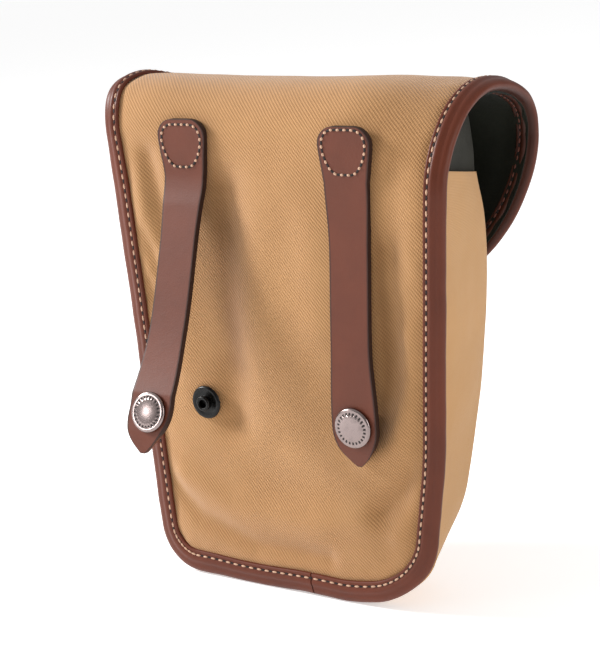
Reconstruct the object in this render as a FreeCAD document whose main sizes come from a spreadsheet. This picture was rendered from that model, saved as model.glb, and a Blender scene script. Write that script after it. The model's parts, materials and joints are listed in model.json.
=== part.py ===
import FreeCAD, Part
import Sketcher
import math
import os

# A padded binocular pouch with a wrap-over flap, leather edge binding and two snap-off belt straps.
# Frame: +Z up, the panel that lies against the wearer faces -Y, the flap hangs down on the +Y side.
# Origin: middle of the flat base. All sizes are in millimetres and degrees.

SIZES = {
    # layers of the padded walls
    "cloth": 1.2, "foam": 2.2, "lining": 0.8, "layer_gap": 0.1,
    # outline of the back panel, which the flap carries on
    "back_face": -30.0, "panel_half_width": 65.5, "side_taper": 0.06, "panel_corner": 27.0,
    # side view of the back panel and flap: straight run, then bends one after the other
    "straight_height": 178.0, "back_bend": 24.0, "hinge_turn": 30.0, "hinge_gap_turn": 0.6,
    "crown_bend": 60.0, "crown_turn": 37.0, "front_bend": 36.0, "front_turn": 67.0,
    "fall_length": 30.2, "settle_bend": 60.0, "settle_turn": 14.0, "hem_length": 14.0,
    "flap_low": 104.0, "flap_corner": 70.0,
    # leather edge binding, a U section folded over the edge
    "binding_leather": 1.3, "binding_width": 8.3, "binding_fit": 0.05, "binding_joint": 8.0,
    # pouch body
    "front_face": 28.0, "mouth_height": 163.0, "gusset_back_half": 60.7, "gusset_back_corner": 24.0,
    "gusset_front_half": 55.0, "gusset_front_taper": 0.037, "gusset_front_corner": 42.0,
    "base_planing": 0.4,
    # storm ears at the two ends of the mouth
    "ear_width": 39.0, "ear_height": 22.5, "ear_cloth": 1.2, "ear_round": 13.0, "ear_place": 0.455,
    # belt straps
    "strap_spacing": 73.0, "strap_leather": 2.4, "strap_half_width": 8.25, "strap_end_half": 9.65,
    "strap_tip": 16.0, "anchor_low": 166.0, "anchor_high": 188.5, "anchor_half_width": 11.15,
    "anchor_round": 7.0, "snap_height": 75.0, "strap_gap": 4.4, "strap_bow_bend": 60.0,
    "strap_bow_turn": 8.0, "left_strap_lift": 18.5, "hinge_clearance": 0.3,
    # closure strap on the flap
    "closure_anchor_low": 112.7, "closure_anchor_high": 132.0, "closure_snap_height": 82.0,
    "closure_strap_face": 35.9, "stud_patch_radius": 11.0,
    # press studs
    "cap_radius": 7.75, "cap_thick": 2.3, "cap_round": 1.5, "shank_radius": 1.6, "shank_hole": 1.7,
    "socket_radius": 6.2, "socket_thick": 2.9, "socket_bore": 4.6, "socket_depth": 2.4,
    "stud_radius": 6.0, "stud_flange": 1.2, "stud_head_radius": 3.1, "stud_height": 3.4,
    "post_radius": 4.5, "post_flange": 1.0, "post_shank": 1.9, "post_hole": 2.0,
}

SIDE_REACH = 140.0      # wider than any piece, used for cutting prisms
TALL = 260.0            # higher than any piece
X_AXIS = FreeCAD.Vector(1, 0, 0)

doc = FreeCAD.newDocument("binocular_pack")


def make_sheet():
    """Put every driving size in the spreadsheet, one row each, and return the sheet."""
    sheet = doc.addObject("Spreadsheet::Sheet", "sizes")
    for row, (alias, value) in enumerate(SIZES.items(), start=1):
        sheet.set(f"A{row}", alias)
        sheet.set(f"B{row}", str(value))
        sheet.setAlias(f"B{row}", alias)
    doc.recompute()
    return sheet


sizes = make_sheet()


def size(alias):
    """A driving size, read from the sheet."""
    return float(sizes.get(alias))


WALL = size("cloth") + size("foam") + size("lining") + 2 * size("layer_gap")
LAYERS = {
    "cloth": (0.0, size("cloth")),
    "foam": (size("cloth") + size("layer_gap"), WALL - size("lining") - size("layer_gap")),
    "lining": (WALL - size("lining"), WALL),
}


# ---------------------------------------------------------------- paths in the YZ plane

def right_of(heading):
    """Unit vector to the right of a heading given in degrees from +Y towards +Z."""
    angle = math.radians(heading)
    return FreeCAD.Vector(0, math.sin(angle), -math.cos(angle))


def step(point, heading, move):
    """Follow one move of a path and return the point and heading at its end."""
    radius, amount = move
    if radius == 0:
        angle = math.radians(heading)
        return point + amount * FreeCAD.Vector(0, math.cos(angle), math.sin(angle)), heading
    centre = point + radius * right_of(heading)
    turned = heading - math.degrees(math.copysign(math.radians(amount), radius))
    return centre - radius * right_of(turned), turned


def trace(point, heading, moves, offset):
    """Edges of a path moved to its right by offset.

    A move is (0, length) for a straight run or (radius, degrees) for a bend, with a negative
    radius where the path bends to its left.
    """
    edges = []
    for radius, amount in moves:
        start = point + offset * right_of(heading)
        middle_point, middle_heading = step(point, heading, (radius, amount / 2))
        middle = middle_point + offset * right_of(middle_heading)
        point, heading = step(point, heading, (radius, amount))
        end = point + offset * right_of(heading)
        if radius == 0:
            edges.append(Part.LineSegment(start, end).toShape())
        else:
            edges.append(Part.Arc(start, middle, end).toShape())
    return edges


def band(point, heading, moves, near, far):
    """Solid strip of wall that follows a path, from offset near to offset far, wider than any piece."""
    first = trace(point, heading, moves, near)
    second = trace(point, heading, moves, far)
    closing = [
        Part.LineSegment(first[0].Vertexes[0].Point, second[0].Vertexes[0].Point).toShape(),
        Part.LineSegment(first[-1].Vertexes[-1].Point, second[-1].Vertexes[-1].Point).toShape(),
    ]
    wire = Part.Wire(Part.__sortEdges__(first + second + closing))
    strip = Part.Face(wire).extrude(2 * SIDE_REACH * X_AXIS)
    strip.translate(-SIDE_REACH * X_AXIS)
    return strip


def panel_moves():
    """Side view of the back panel: straight up, then bending forward to the hinge line."""
    gap = size("hinge_gap_turn") / 2
    return [(0, size("straight_height")), (size("back_bend"), size("hinge_turn") - gap)]


def flap_moves():
    """Side view of the flap: over the top, down the front, and settling against the body."""
    gap = size("hinge_gap_turn") / 2
    return [
        (size("back_bend"), 90 - size("hinge_turn") - gap),
        (size("crown_bend"), size("crown_turn")),
        (size("front_bend"), size("front_turn")),
        (0, size("fall_length")),
        (-size("settle_bend"), size("settle_turn")),
        (0, size("hem_length")),
    ]


def panel_start():
    """Lowest point of the back panel's outer face, and the heading there."""
    return FreeCAD.Vector(0, size("back_face"), 0), 90.0


def flap_start():
    """Point and heading where the flap begins, just past the hinge line."""
    point, heading = panel_start()
    for move in panel_moves():
        point, heading = step(point, heading, move)
    return step(point, heading, (size("back_bend"), size("hinge_gap_turn")))


def hinge_line():
    """Point of the flap's hinge: on the outer face of the binding, between panel and flap."""
    point, heading = panel_start()
    point, heading = step(point, heading, panel_moves()[0])
    point, heading = step(point, heading, (size("back_bend"), size("hinge_turn")))
    return point - size("binding_leather") * right_of(heading)


# ---------------------------------------------------------------- outlines in the XZ plane

def u_outline(y, half, taper, low, corner, inset, top=TALL):
    """Closed outline with tapered sides and two round lower corners, drawn in from its edge by inset."""
    slant = math.atan(taper)
    half_in = half - inset / math.cos(slant)
    low_in = low + inset
    radius = corner - inset
    centre_z = low_in + radius
    centre_x = half_in + taper * centre_z - radius / math.cos(slant)
    middle = (slant + math.pi / 2) / 2
    corners = []
    for side in (1, -1):
        on_arc = [
            FreeCAD.Vector(side * (centre_x + radius * math.cos(turn)), y, centre_z - radius * math.sin(turn))
            for turn in (slant, middle)
        ]
        upper = FreeCAD.Vector(side * (half_in + taper * top), y, top)
        lower = FreeCAD.Vector(side * centre_x, y, low_in)
        corners.append([upper, *on_arc, lower])
    (right_top, right_side, right_middle, right_low), (left_top, left_side, left_middle, left_low) = corners
    return Part.Wire([
        Part.LineSegment(right_top, right_side).toShape(),
        Part.Arc(right_side, right_middle, right_low).toShape(),
        Part.LineSegment(right_low, left_low).toShape(),
        Part.Arc(left_low, left_middle, left_side).toShape(),
        Part.LineSegment(left_side, left_top).toShape(),
        Part.LineSegment(left_top, right_top).toShape(),
    ])


def prism(wire):
    """Solid made by drawing an outline that lies at y = -SIDE_REACH through the whole pack."""
    return Part.Face(wire).extrude(FreeCAD.Vector(0, 2 * SIDE_REACH, 0))


def panel_prism(inset):
    """Cutting prism with the outline of the back panel."""
    return prism(u_outline(-SIDE_REACH, size("panel_half_width"), size("side_taper"), 0.0,
                           size("panel_corner"), inset))


def flap_prism(inset):
    """Cutting prism with the outline of the flap, the same sides but a high, very round lower edge."""
    return prism(u_outline(-SIDE_REACH, size("panel_half_width"), size("side_taper"), size("flap_low"),
                           size("flap_corner"), inset))


def strap_prism(centre_x, top, snap_height):
    """Cutting prism of a strap: parallel, wider at its snap, and drawn to a blunt point."""
    half, end_half = size("strap_half_width"), size("strap_end_half")
    tip = snap_height - size("strap_tip")
    widen_from = snap_height + (top - snap_height) / 3
    shoulder = FreeCAD.Vector(end_half * 0.72, -SIDE_REACH, snap_height - size("strap_tip") * 0.62)
    right = [
        FreeCAD.Vector(half, -SIDE_REACH, top),
        FreeCAD.Vector(half, -SIDE_REACH, widen_from),
        FreeCAD.Vector(end_half, -SIDE_REACH, snap_height),
    ]
    left = [FreeCAD.Vector(-point.x, point.y, point.z) for point in right]
    point = FreeCAD.Vector(0, -SIDE_REACH, tip)
    shoulder_left = FreeCAD.Vector(-shoulder.x, shoulder.y, shoulder.z)
    edges = [
        Part.LineSegment(right[0], right[1]).toShape(),
        Part.LineSegment(right[1], right[2]).toShape(),
        Part.Arc(right[2], shoulder, point).toShape(),
        Part.Arc(point, shoulder_left, left[2]).toShape(),
        Part.LineSegment(left[2], left[1]).toShape(),
        Part.LineSegment(left[1], left[0]).toShape(),
        Part.LineSegment(left[0], right[0]).toShape(),
    ]
    outline = prism(Part.Wire(edges))
    outline.translate(centre_x * X_AXIS)
    return outline


# ---------------------------------------------------------------- document objects

parts = []


def shaped(label, shape, placement=None):
    """Add a sub-part whose curved, layered shape is worked out from the sheet's sizes."""
    feature = doc.addObject("Part::Feature", label)
    feature.Label = label
    feature.Shape = shape
    if placement is not None:
        feature.Placement = placement
    parts.append(feature)
    return feature


def origin_plane(body, role):
    """One of a body's own origin planes."""
    return next(item for item in body.Origin.OriginFeatures if item.Role == role)


def bind_point(sketch, line, place, expressions):
    """Hold one end of a sketch line at two distances from the origin, given as sheet expressions."""
    for kind, axis, expression in zip(("DistanceX", "DistanceY"), (-2, -1), expressions):
        value = sketch.evalExpression(expression)
        if value == 0:
            sketch.addConstraint(Sketcher.Constraint("PointOnObject", line, place, axis))
            continue
        positive = value > 0
        ends = (-1, 1, line, place) if positive else (line, place, -1, 1)
        index = sketch.addConstraint(Sketcher.Constraint(kind, *ends, abs(value)))
        sketch.setExpression(f"Constraints[{index}]", expression if positive else f"-1 * ({expression})")


def draw_polygon(sketch, corners):
    """Draw a closed polygon whose corners are pairs of sheet expressions, fully fixed."""
    points = [
        FreeCAD.Vector(sketch.evalExpression(across), sketch.evalExpression(along), 0)
        for across, along in corners
    ]
    for index, start in enumerate(points):
        sketch.addGeometry(Part.LineSegment(start, points[(index + 1) % len(points)]))
    for index in range(len(points)):
        following = (index + 1) % len(points)
        sketch.addConstraint(Sketcher.Constraint("Coincident", index, 2, following, 1))
        bind_point(sketch, index, 1, corners[index])


def new_body(label, corners, role):
    """A body of its own with one closed sketch on an origin plane."""
    body = doc.addObject("PartDesign::Body", label)
    body.Label = label
    sketch = body.newObject("Sketcher::SketchObject", f"{label}_outline")
    sketch.AttachmentSupport = [(origin_plane(body, role), "")]
    sketch.MapMode = "FlatFace"
    draw_polygon(sketch, corners)
    return body, sketch


def round_edges(body, feature, chosen, radius):
    """Fillet the edges of a body's last feature that chosen(edge) accepts, by a sheet expression."""
    doc.recompute()
    names = [f"Edge{number}" for number, edge in enumerate(feature.Shape.Edges, start=1) if chosen(edge)]
    fillet = body.newObject("PartDesign::Fillet", f"{body.Label}_round")
    fillet.Base = (feature, names)
    fillet.setExpression("Radius", radius)


def turned(label, profile, placement, rounded=None):
    """A turned metal piece: profile corners are (radius, height) expressions about the body's Z axis."""
    body, sketch = new_body(label, profile, "XZ_Plane")
    revolution = body.newObject("PartDesign::Revolution", f"{label}_turning")
    revolution.Profile = sketch
    revolution.ReferenceAxis = (sketch, ["V_Axis"])
    revolution.Angle = 360.0
    if rounded is not None:
        edge_height, radius = rounded
        level = sizes.evalExpression(edge_height)
        round_edges(body, revolution, lambda edge: is_rim(edge, level), radius)
    body.Placement = placement
    parts.append(body)
    return body


def is_rim(edge, level):
    """True for a circular edge of a turned piece that lies at a height."""
    box = edge.BoundBox
    return box.ZLength < 1e-6 and abs(box.ZMin - level) < 1e-6


def is_upper_corner(edge, top):
    """True for an edge that runs through a plate's thickness at its top."""
    return edge.BoundBox.YLength > 0.5 and edge.BoundBox.ZMin > top - 1e-6


def plate(label, corners, thickness, rounded, placement):
    """A flat piece drawn on the body's XZ plane, of one thickness, its two upper corners rounded."""
    body, sketch = new_body(label, corners, "XZ_Plane")
    pad = body.newObject("PartDesign::Pad", f"{label}_thickness")
    pad.Profile = sketch
    pad.setExpression("Length", thickness)
    doc.recompute()
    top = pad.Shape.BoundBox.ZMax
    round_edges(body, pad, lambda edge: is_upper_corner(edge, top), rounded)
    body.Placement = placement
    parts.append(body)
    return body


def facing(x, y, z, tilt=0.0, towards=-1):
    """Placement that points a turned piece's axis along -Y (or +Y), tilted upward by tilt degrees."""
    angle = 90.0 - tilt if towards < 0 else -90.0 + tilt
    return FreeCAD.Placement(FreeCAD.Vector(x, y, z), FreeCAD.Rotation(X_AXIS, angle))


# ---------------------------------------------------------------- back panel and flap

def drill(radius, x, z):
    """Cutting cylinder along Y, for the hole that a stud's or cap's shank goes through."""
    start = FreeCAD.Vector(x, -SIDE_REACH, z)
    return Part.makeCylinder(radius, 2 * SIDE_REACH, start, FreeCAD.Vector(0, 1, 0))


def layer_inset(layer):
    """How far a layer stays inside the outline: the foam stops short of the stitched edge."""
    if layer == "foam":
        return size("binding_width") + size("binding_leather")
    return size("binding_leather")


def make_binding(start, moves, outline):
    """Leather U section that wraps the edge of a wall, front, edge and back."""
    point, heading = start
    leather, fit = size("binding_leather"), size("binding_fit")
    thick = band(point, heading, moves, -leather, WALL + leather)
    core = band(point, heading, moves, -fit, WALL + fit).common(outline(leather - fit))
    ring = outline(0).cut(outline(size("binding_width")))
    return thick.common(ring).cut(core)


def split_at(shape, x):
    """The parts of a shape on the left and on the right of a plane across X."""
    reach = FreeCAD.Vector(SIDE_REACH, 2 * SIDE_REACH, 2 * TALL)
    low = FreeCAD.Vector(0, -SIDE_REACH, -TALL)
    left = Part.makeBox(reach.x + x, reach.y, reach.z, low - SIDE_REACH * X_AXIS)
    right = Part.makeBox(reach.x - x, reach.y, reach.z, low + x * X_AXIS)
    return shape.common(left), shape.common(right)


def build_back_panel():
    """Cloth, foam and lining of the panel against the wearer, and its binding in two lengths."""
    point, heading = panel_start()
    half_spacing = size("strap_spacing") / 2
    holes = [drill(size("post_hole"), side * half_spacing, size("snap_height")) for side in (-1, 1)]
    for layer, (near, far) in LAYERS.items():
        sheet = band(point, heading, panel_moves(), near, far).common(panel_prism(layer_inset(layer)))
        shaped(f"back_panel_{layer}", sheet.cut(holes))
    whole = make_binding(panel_start(), panel_moves(), panel_prism)
    left, right = split_at(whole, size("binding_joint"))
    shaped("back_binding_left", left)
    shaped("back_binding_right", right)


def build_flap():
    """Cloth, foam and lining of the flap, and the binding round its edge."""
    point, heading = flap_start()
    for layer, (near, far) in LAYERS.items():
        sheet = band(point, heading, flap_moves(), near, far)
        shaped(f"flap_{layer}", sheet.common(flap_prism(layer_inset(layer))))
    shaped("flap_binding", make_binding(flap_start(), flap_moves(), flap_prism))


# ---------------------------------------------------------------- pouch body

def gusset_loft(inset, low, top):
    """Solid between the pouch's back and front outlines, drawn in by inset, from low to top."""
    back = size("back_face") + WALL + size("binding_leather") + size("layer_gap")
    front = size("front_face") - size("cloth") - size("layer_gap")
    wires = [
        u_outline(back, size("gusset_back_half"), size("side_taper"), low,
                  size("gusset_back_corner"), inset, top),
        u_outline(front, size("gusset_front_half"), size("gusset_front_taper"), low,
                  size("gusset_front_corner"), inset, top),
    ]
    return Part.makeLoft(wires, True, True)


def build_gusset():
    """The wall that runs down one side, under the base and up the other, in three layers.

    The cloth is drawn a little low and planed off, so that the pack stands on a true flat face.
    """
    mouth = size("mouth_height")
    corner = FreeCAD.Vector(-SIDE_REACH, -SIDE_REACH, 0)
    above_floor = Part.makeBox(2 * SIDE_REACH, 2 * SIDE_REACH, TALL, corner)
    for layer, (near, far) in LAYERS.items():
        low = -size("base_planing") if layer == "cloth" else 0.0
        wall = gusset_loft(near, low, mouth).cut(gusset_loft(far, 0.0, mouth + size("foam")))
        shaped(f"gusset_{layer}", wall.common(above_floor))


def build_front_panel():
    """Cloth, foam and lining of the pouch's front, closing the gusset."""
    mouth = size("mouth_height")
    face = size("front_face")
    hole = drill(size("post_hole"), 0, size("closure_snap_height"))
    for layer, (near, far) in LAYERS.items():
        inset = 0.0 if layer == "cloth" else WALL + size("layer_gap")
        wire = u_outline(face - far, size("gusset_front_half"), size("gusset_front_taper"), 0.0,
                         size("gusset_front_corner"), inset, mouth)
        slab = Part.Face(wire).extrude(FreeCAD.Vector(0, far - near, 0))
        shaped(f"front_panel_{layer}", slab.cut(hole))


def build_storm_ears():
    """Two round-topped cloth ears that stand on the gusset and close the gaps beside the flap."""
    half, rise = "sizes.ear_width / 2", "sizes.ear_height"
    corners = [(f"-{half}", "0"), (half, "0"), (half, rise), (f"-{half}", rise)]
    mouth = size("mouth_height")
    back = size("back_face") + WALL + size("binding_leather")
    back_half = size("gusset_back_half") + size("side_taper") * mouth
    front_half = size("gusset_front_half") + size("gusset_front_taper") * mouth
    slope = math.degrees(math.atan((back_half - front_half) / (size("front_face") - back)))
    middle_y = back + (size("front_face") - back) * size("ear_place")
    middle_x = back_half + (front_half - back_half) * size("ear_place") - size("foam")
    for name, side in (("left", -1), ("right", 1)):
        turn = FreeCAD.Rotation(FreeCAD.Vector(0, 0, 1), side * (90 + slope))
        place = FreeCAD.Placement(FreeCAD.Vector(side * middle_x, middle_y, mouth + size("layer_gap")), turn)
        plate(f"storm_ear_{name}", corners, "sizes.ear_cloth", "sizes.ear_round", place)


# ---------------------------------------------------------------- straps and press studs

CAP_PROFILE = [
    ("0", "-sizes.strap_leather"), ("sizes.shank_radius", "-sizes.strap_leather"),
    ("sizes.shank_radius", "0"), ("sizes.cap_radius", "0"), ("sizes.cap_radius", "sizes.cap_thick"),
    ("0", "sizes.cap_thick"),
]
SOCKET_PROFILE = [
    ("sizes.socket_bore", "0"), ("sizes.socket_radius", "0"), ("sizes.socket_radius", "sizes.socket_thick"),
    ("0", "sizes.socket_thick"), ("0", "sizes.socket_depth"), ("sizes.socket_bore", "sizes.socket_depth"),
]
STUD_PROFILE = [
    ("0", "0"), ("sizes.stud_radius", "0"), ("sizes.stud_radius", "sizes.stud_flange"),
    ("sizes.stud_head_radius", "sizes.stud_flange"), ("sizes.stud_head_radius", "sizes.stud_height"),
    ("0", "sizes.stud_height"),
]
POST_PROFILE = [
    ("0", "0"), ("sizes.post_radius", "0"), ("sizes.post_radius", "sizes.post_flange"),
    ("sizes.post_shank", "sizes.post_flange"), ("sizes.post_shank", "sizes.post_flange + {wall}"),
    ("0", "sizes.post_flange + {wall}"),
]
WALL_WORDS = "sizes.cloth + sizes.foam + sizes.lining + 2 * sizes.layer_gap"
PATCH_WORDS = "sizes.closure_strap_face - sizes.strap_gap - sizes.front_face"


def post_profile(wall):
    """Back plate of a stud, with a shank as long as the wall that it passes through."""
    return [(radius, height.format(wall=wall)) for radius, height in POST_PROFILE]


def strap_moves(length):
    """Side view of a belt strap: out from the panel, then straight down past its snap."""
    bend, turn = size("strap_bow_bend"), size("strap_bow_turn")
    slant = math.radians(turn)
    slope_run = (size("strap_gap") - 2 * bend * (1 - math.cos(slant))) / math.sin(slant)
    return [(bend, turn), (0, slope_run), (-bend, turn), (0, length)]


def swing(placement, pivot, angle):
    """A placement turned about the X direction through a pivot, lifting a belt strap off the panel."""
    turn = FreeCAD.Placement(FreeCAD.Vector(), FreeCAD.Rotation(X_AXIS, -angle), pivot)
    return turn.multiply(placement)


def build_belt_strap(name, side, lift):
    """One belt strap with its sewn anchor, cap, socket, stud and the stud's back plate."""
    x = side * size("strap_spacing") / 2
    face = size("back_face") - size("layer_gap")
    leather, snap = size("strap_leather"), size("snap_height")
    top = size("anchor_low") - size("hinge_clearance")
    pivot = FreeCAD.Vector(x, face - leather, size("anchor_low"))

    foot = "sizes.strap_half_width"
    head = "sizes.anchor_half_width"
    rise = "sizes.anchor_high - sizes.anchor_low"
    corners = [(f"-{foot}", "0"), (foot, "0"), (head, rise), (f"-{head}", rise)]
    anchor_place = FreeCAD.Placement(FreeCAD.Vector(x, face, size("anchor_low")), FreeCAD.Rotation())
    plate(f"belt_strap_{name}_anchor", corners, "sizes.strap_leather", "sizes.anchor_round", anchor_place)

    start = FreeCAD.Vector(0, face, top)
    strip = band(start, -90.0, strap_moves(snap + size("strap_tip")), 0.0, leather)
    strap = strip.common(strap_prism(x, top, snap)).cut(drill(size("shank_hole"), x, snap))
    shaped(f"belt_strap_{name}", strap, swing(FreeCAD.Placement(), pivot, lift))

    outer = face - size("strap_gap") - leather
    turned(f"belt_cap_{name}", CAP_PROFILE, swing(facing(x, outer, snap), pivot, lift),
           ("sizes.cap_thick", "sizes.cap_round"))
    inner = face - size("strap_gap") + size("socket_thick")
    turned(f"belt_socket_{name}", SOCKET_PROFILE, swing(facing(x, inner, snap), pivot, lift))
    turned(f"belt_stud_{name}", STUD_PROFILE, facing(x, size("back_face"), snap))
    turned(f"belt_stud_{name}_post", post_profile(WALL_WORDS),
           facing(x, size("back_face") + WALL + size("post_flange"), snap))


def build_closure():
    """The flap's closure strap and the stud that it snaps to on the pouch's front."""
    leather, snap = size("strap_leather"), size("closure_snap_height")
    low, high = size("closure_anchor_low"), size("closure_anchor_high")
    point, heading = flap_start()
    half = size("anchor_half_width")
    block = Part.makeBox(2 * half, SIDE_REACH, high - low, FreeCAD.Vector(-half, 0, low))
    upper = [edge for edge in block.Edges if is_upper_corner(edge, high)]
    block = block.makeFillet(size("anchor_round"), upper)
    gap = size("layer_gap")
    shaped("closure_strap_anchor", band(point, heading, flap_moves(), -gap - leather, -gap).common(block))

    face = size("closure_strap_face")
    top = low - size("hinge_clearance")
    strip = Part.makeBox(2 * SIDE_REACH, leather, TALL, FreeCAD.Vector(-SIDE_REACH, face, 0))
    shaped("closure_strap", strip.common(strap_prism(0, top, snap)).cut(drill(size("shank_hole"), 0, snap)))
    turned("closure_cap", CAP_PROFILE, facing(0, face + leather, snap, towards=1),
           ("sizes.cap_thick", "sizes.cap_round"))
    turned("closure_socket", SOCKET_PROFILE, facing(0, face - size("socket_thick"), snap, towards=1))

    patch_face = face - size("strap_gap")
    turned("closure_stud", STUD_PROFILE, facing(0, patch_face, snap, towards=1))
    patch = [("sizes.post_hole", "0"), ("sizes.stud_patch_radius", "0"),
             ("sizes.stud_patch_radius", PATCH_WORDS), ("sizes.post_hole", PATCH_WORDS)]
    turned("closure_stud_patch", patch, facing(0, size("front_face"), snap, towards=1))
    turned("closure_stud_post", post_profile(f"{WALL_WORDS} + {PATCH_WORDS}"),
           facing(0, size("front_face") - WALL - size("post_flange"), snap, towards=1))


# ---------------------------------------------------------------- check and write

def check_document():
    """Stop if any object failed or any sub-part has no valid solid."""
    for item in doc.Objects:
        if "Invalid" in item.State or "Error" in item.State:
            raise RuntimeError(f"{item.Label}: {item.State}")
    for item in parts:
        if item.Shape.isNull() or not item.Shape.isValid() or not item.Shape.Solids:
            raise RuntimeError(f"{item.Label} has no valid solid")


def write_parts():
    """Write each sub-part to a STEP file that carries its name."""
    os.makedirs("parts", exist_ok=True)
    for item in parts:
        item.Shape.exportStep(f"parts/{item.Label}.step")


build_back_panel()
build_gusset()
build_front_panel()
build_storm_ears()
build_flap()
build_belt_strap("left", -1, size("left_strap_lift"))
build_belt_strap("right", 1, 0.0)
build_closure()
doc.recompute()
check_document()
write_parts()

hinge = hinge_line()
print(f"flap hinge line: y {hinge.y:.3f}, z {hinge.z:.3f}")
for item in parts:
    box = item.Shape.BoundBox
    print(f"{item.Label}: volume {item.Shape.Volume:.0f}, solids {len(item.Shape.Solids)}, "
          f"y {box.YMin:.1f} to {box.YMax:.1f}, z {box.ZMin:.1f} to {box.ZMax:.1f}")
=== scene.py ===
import json
import math

import bpy
import numpy as np
from mathutils import Matrix, Vector, kdtree, noise


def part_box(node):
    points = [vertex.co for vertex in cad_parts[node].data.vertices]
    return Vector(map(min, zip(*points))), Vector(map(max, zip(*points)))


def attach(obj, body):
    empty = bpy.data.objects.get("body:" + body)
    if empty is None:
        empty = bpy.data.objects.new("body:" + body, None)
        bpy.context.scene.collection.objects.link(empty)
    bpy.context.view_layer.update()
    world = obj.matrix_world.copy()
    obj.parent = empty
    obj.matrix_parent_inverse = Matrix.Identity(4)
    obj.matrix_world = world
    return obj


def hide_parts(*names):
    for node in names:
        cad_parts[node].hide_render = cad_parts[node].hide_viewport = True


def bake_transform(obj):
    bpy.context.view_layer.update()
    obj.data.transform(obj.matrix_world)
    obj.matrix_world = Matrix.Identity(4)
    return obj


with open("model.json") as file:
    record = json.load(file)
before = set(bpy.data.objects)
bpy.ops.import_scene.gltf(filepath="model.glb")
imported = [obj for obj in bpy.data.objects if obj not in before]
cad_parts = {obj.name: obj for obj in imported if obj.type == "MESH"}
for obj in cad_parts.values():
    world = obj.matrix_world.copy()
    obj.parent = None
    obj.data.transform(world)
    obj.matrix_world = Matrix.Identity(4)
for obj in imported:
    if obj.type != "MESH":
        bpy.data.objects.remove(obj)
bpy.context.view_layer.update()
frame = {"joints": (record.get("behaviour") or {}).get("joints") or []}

bl_info = {
    "name": "Binocular Pouch",
    "version": (1, 0, 0),
    "blender": (4, 5, 0),
    "location": "3D View > Sidebar > Pouch",
    "description": "Builds a padded canvas binocular pouch with leather edging and snap-off belt straps",
    "category": "Add Mesh",
}

MM = 0.001


def node_low(node):
    """Lowest corner of a CAD node, in millimetres."""
    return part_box(node)[0] / MM


def node_high(node):
    """Highest corner of a CAD node, in millimetres."""
    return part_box(node)[1] / MM


def joint_pivot(name):
    """Where a joint turns, in millimetres."""
    joint = next(item for item in frame["joints"] if item["name"] == name)
    return Vector(joint["pos_m"]) / MM


# ---------------------------------------------------------------- settings a user would change

def length_setting(name, description, millimetres):
    """A length property whose default is given in millimetres."""
    return bpy.props.FloatProperty(
        name=name, description=description, default=millimetres * MM, unit="LENGTH")


class PouchSizes(bpy.types.PropertyGroup):
    """Sizes of the pouch's pieces."""

    wall: length_setting("Wall thickness", "Cloth, padding and lining together", 4.4)
    half_width: length_setting("Half width at the base", "Half the panel's width at floor level", 65.5)
    taper: bpy.props.FloatProperty(
        name="Side taper", description="How much the half width grows with height", default=0.06)
    panel_corner: length_setting("Panel corner", "Radius of the panel's lower corners", 27.0)
    flap_corner: length_setting("Flap corner", "Radius of the flap's lower corners", 70.0)
    binding_width: length_setting("Binding width", "Leather shown on each face along the edge", 7.9)
    binding_joint: length_setting("Binding joint", "Where the binding's two ends meet at the base", 8.0)
    stitch_pitch: length_setting("Stitch pitch", "Length of one stitch along the binding", 3.8)
    strap_leather: length_setting("Strap leather", "Thickness of the strap leather", 2.4)
    strap_half_width: length_setting("Strap half width", "Half a strap's width between its ends", 8.25)
    strap_end_half: length_setting("Snap half width", "Half a strap's width where the cap sits", 9.65)
    anchor_half_width: length_setting("Anchor half width", "Half the width of the sewn patch", 11.15)
    twill_pitch: length_setting("Twill pitch", "Distance from one diagonal rib to the next", 1.08)
    left_lift: bpy.props.FloatProperty(
        name="Left strap lift", description="How far the unsnapped strap stands off the panel",
        default=math.radians(18.5), subtype="ANGLE")


def colour_setting(name, description, default):
    """A colour property in linear light."""
    return bpy.props.FloatVectorProperty(
        name=name, description=description, default=default, size=3, subtype="COLOR", min=0, max=1)


class PouchColours(bpy.types.PropertyGroup):
    """Colours of the pouch's materials, in linear light."""

    canvas: colour_setting("Canvas", "Twill of the back and flap", (0.47, 0.250, 0.102))
    canvas_groove: colour_setting("Canvas grooves", "Between the twill's ribs", (0.235, 0.104, 0.033))
    # colour of the painted shade in folds and the painted shadow beside the straps
    canvas_shade: colour_setting("Canvas folds", "Deep in folds and beside straps", (0.17, 0.072, 0.020))
    gusset: colour_setting("Gusset canvas", "Smoother cloth of the body", (0.53, 0.28, 0.100))
    leather: colour_setting("Leather", "Straps", (0.122, 0.029, 0.0125))
    binding: colour_setting("Binding", "Edge leather", (0.118, 0.027, 0.012))
    # this colour is the real burnish of cut edges, and also painted shade on the binding's inner leg and in
    # the needle holes
    burnish_and_shade: colour_setting("Burnished edge", "Cut edges and creases", (0.016, 0.006, 0.004))
    thread: colour_setting("Thread", "Stitching", (0.60, 0.36, 0.23))
    lining: colour_setting("Lining", "Inside of pouch and flap", (0.0065, 0.0075, 0.0038))
    ear: colour_setting("Storm ears", "Cloth at the ends of the mouth", (0.017, 0.016, 0.011))
    silver: colour_setting("Antique silver", "Press stud caps", (0.27, 0.215, 0.205))
    patina: colour_setting("Patina", "Recesses of the caps", (0.045, 0.038, 0.036))
    enamel: colour_setting("Black enamel", "Studs", (0.0022, 0.0019, 0.0016))
    floor: colour_setting("Floor", "Ground under the pouch", (0.88, 0.88, 0.88))


def sizes():
    """The scene's pouch sizes, in metres."""
    return bpy.context.scene.pouch_sizes


def colours():
    """The scene's pouch colours."""
    return bpy.context.scene.pouch_colours


def mm(name):
    """One of the pouch's sizes in millimetres."""
    return getattr(sizes(), name) / MM


# ---------------------------------------------------------------- shader maths

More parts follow.
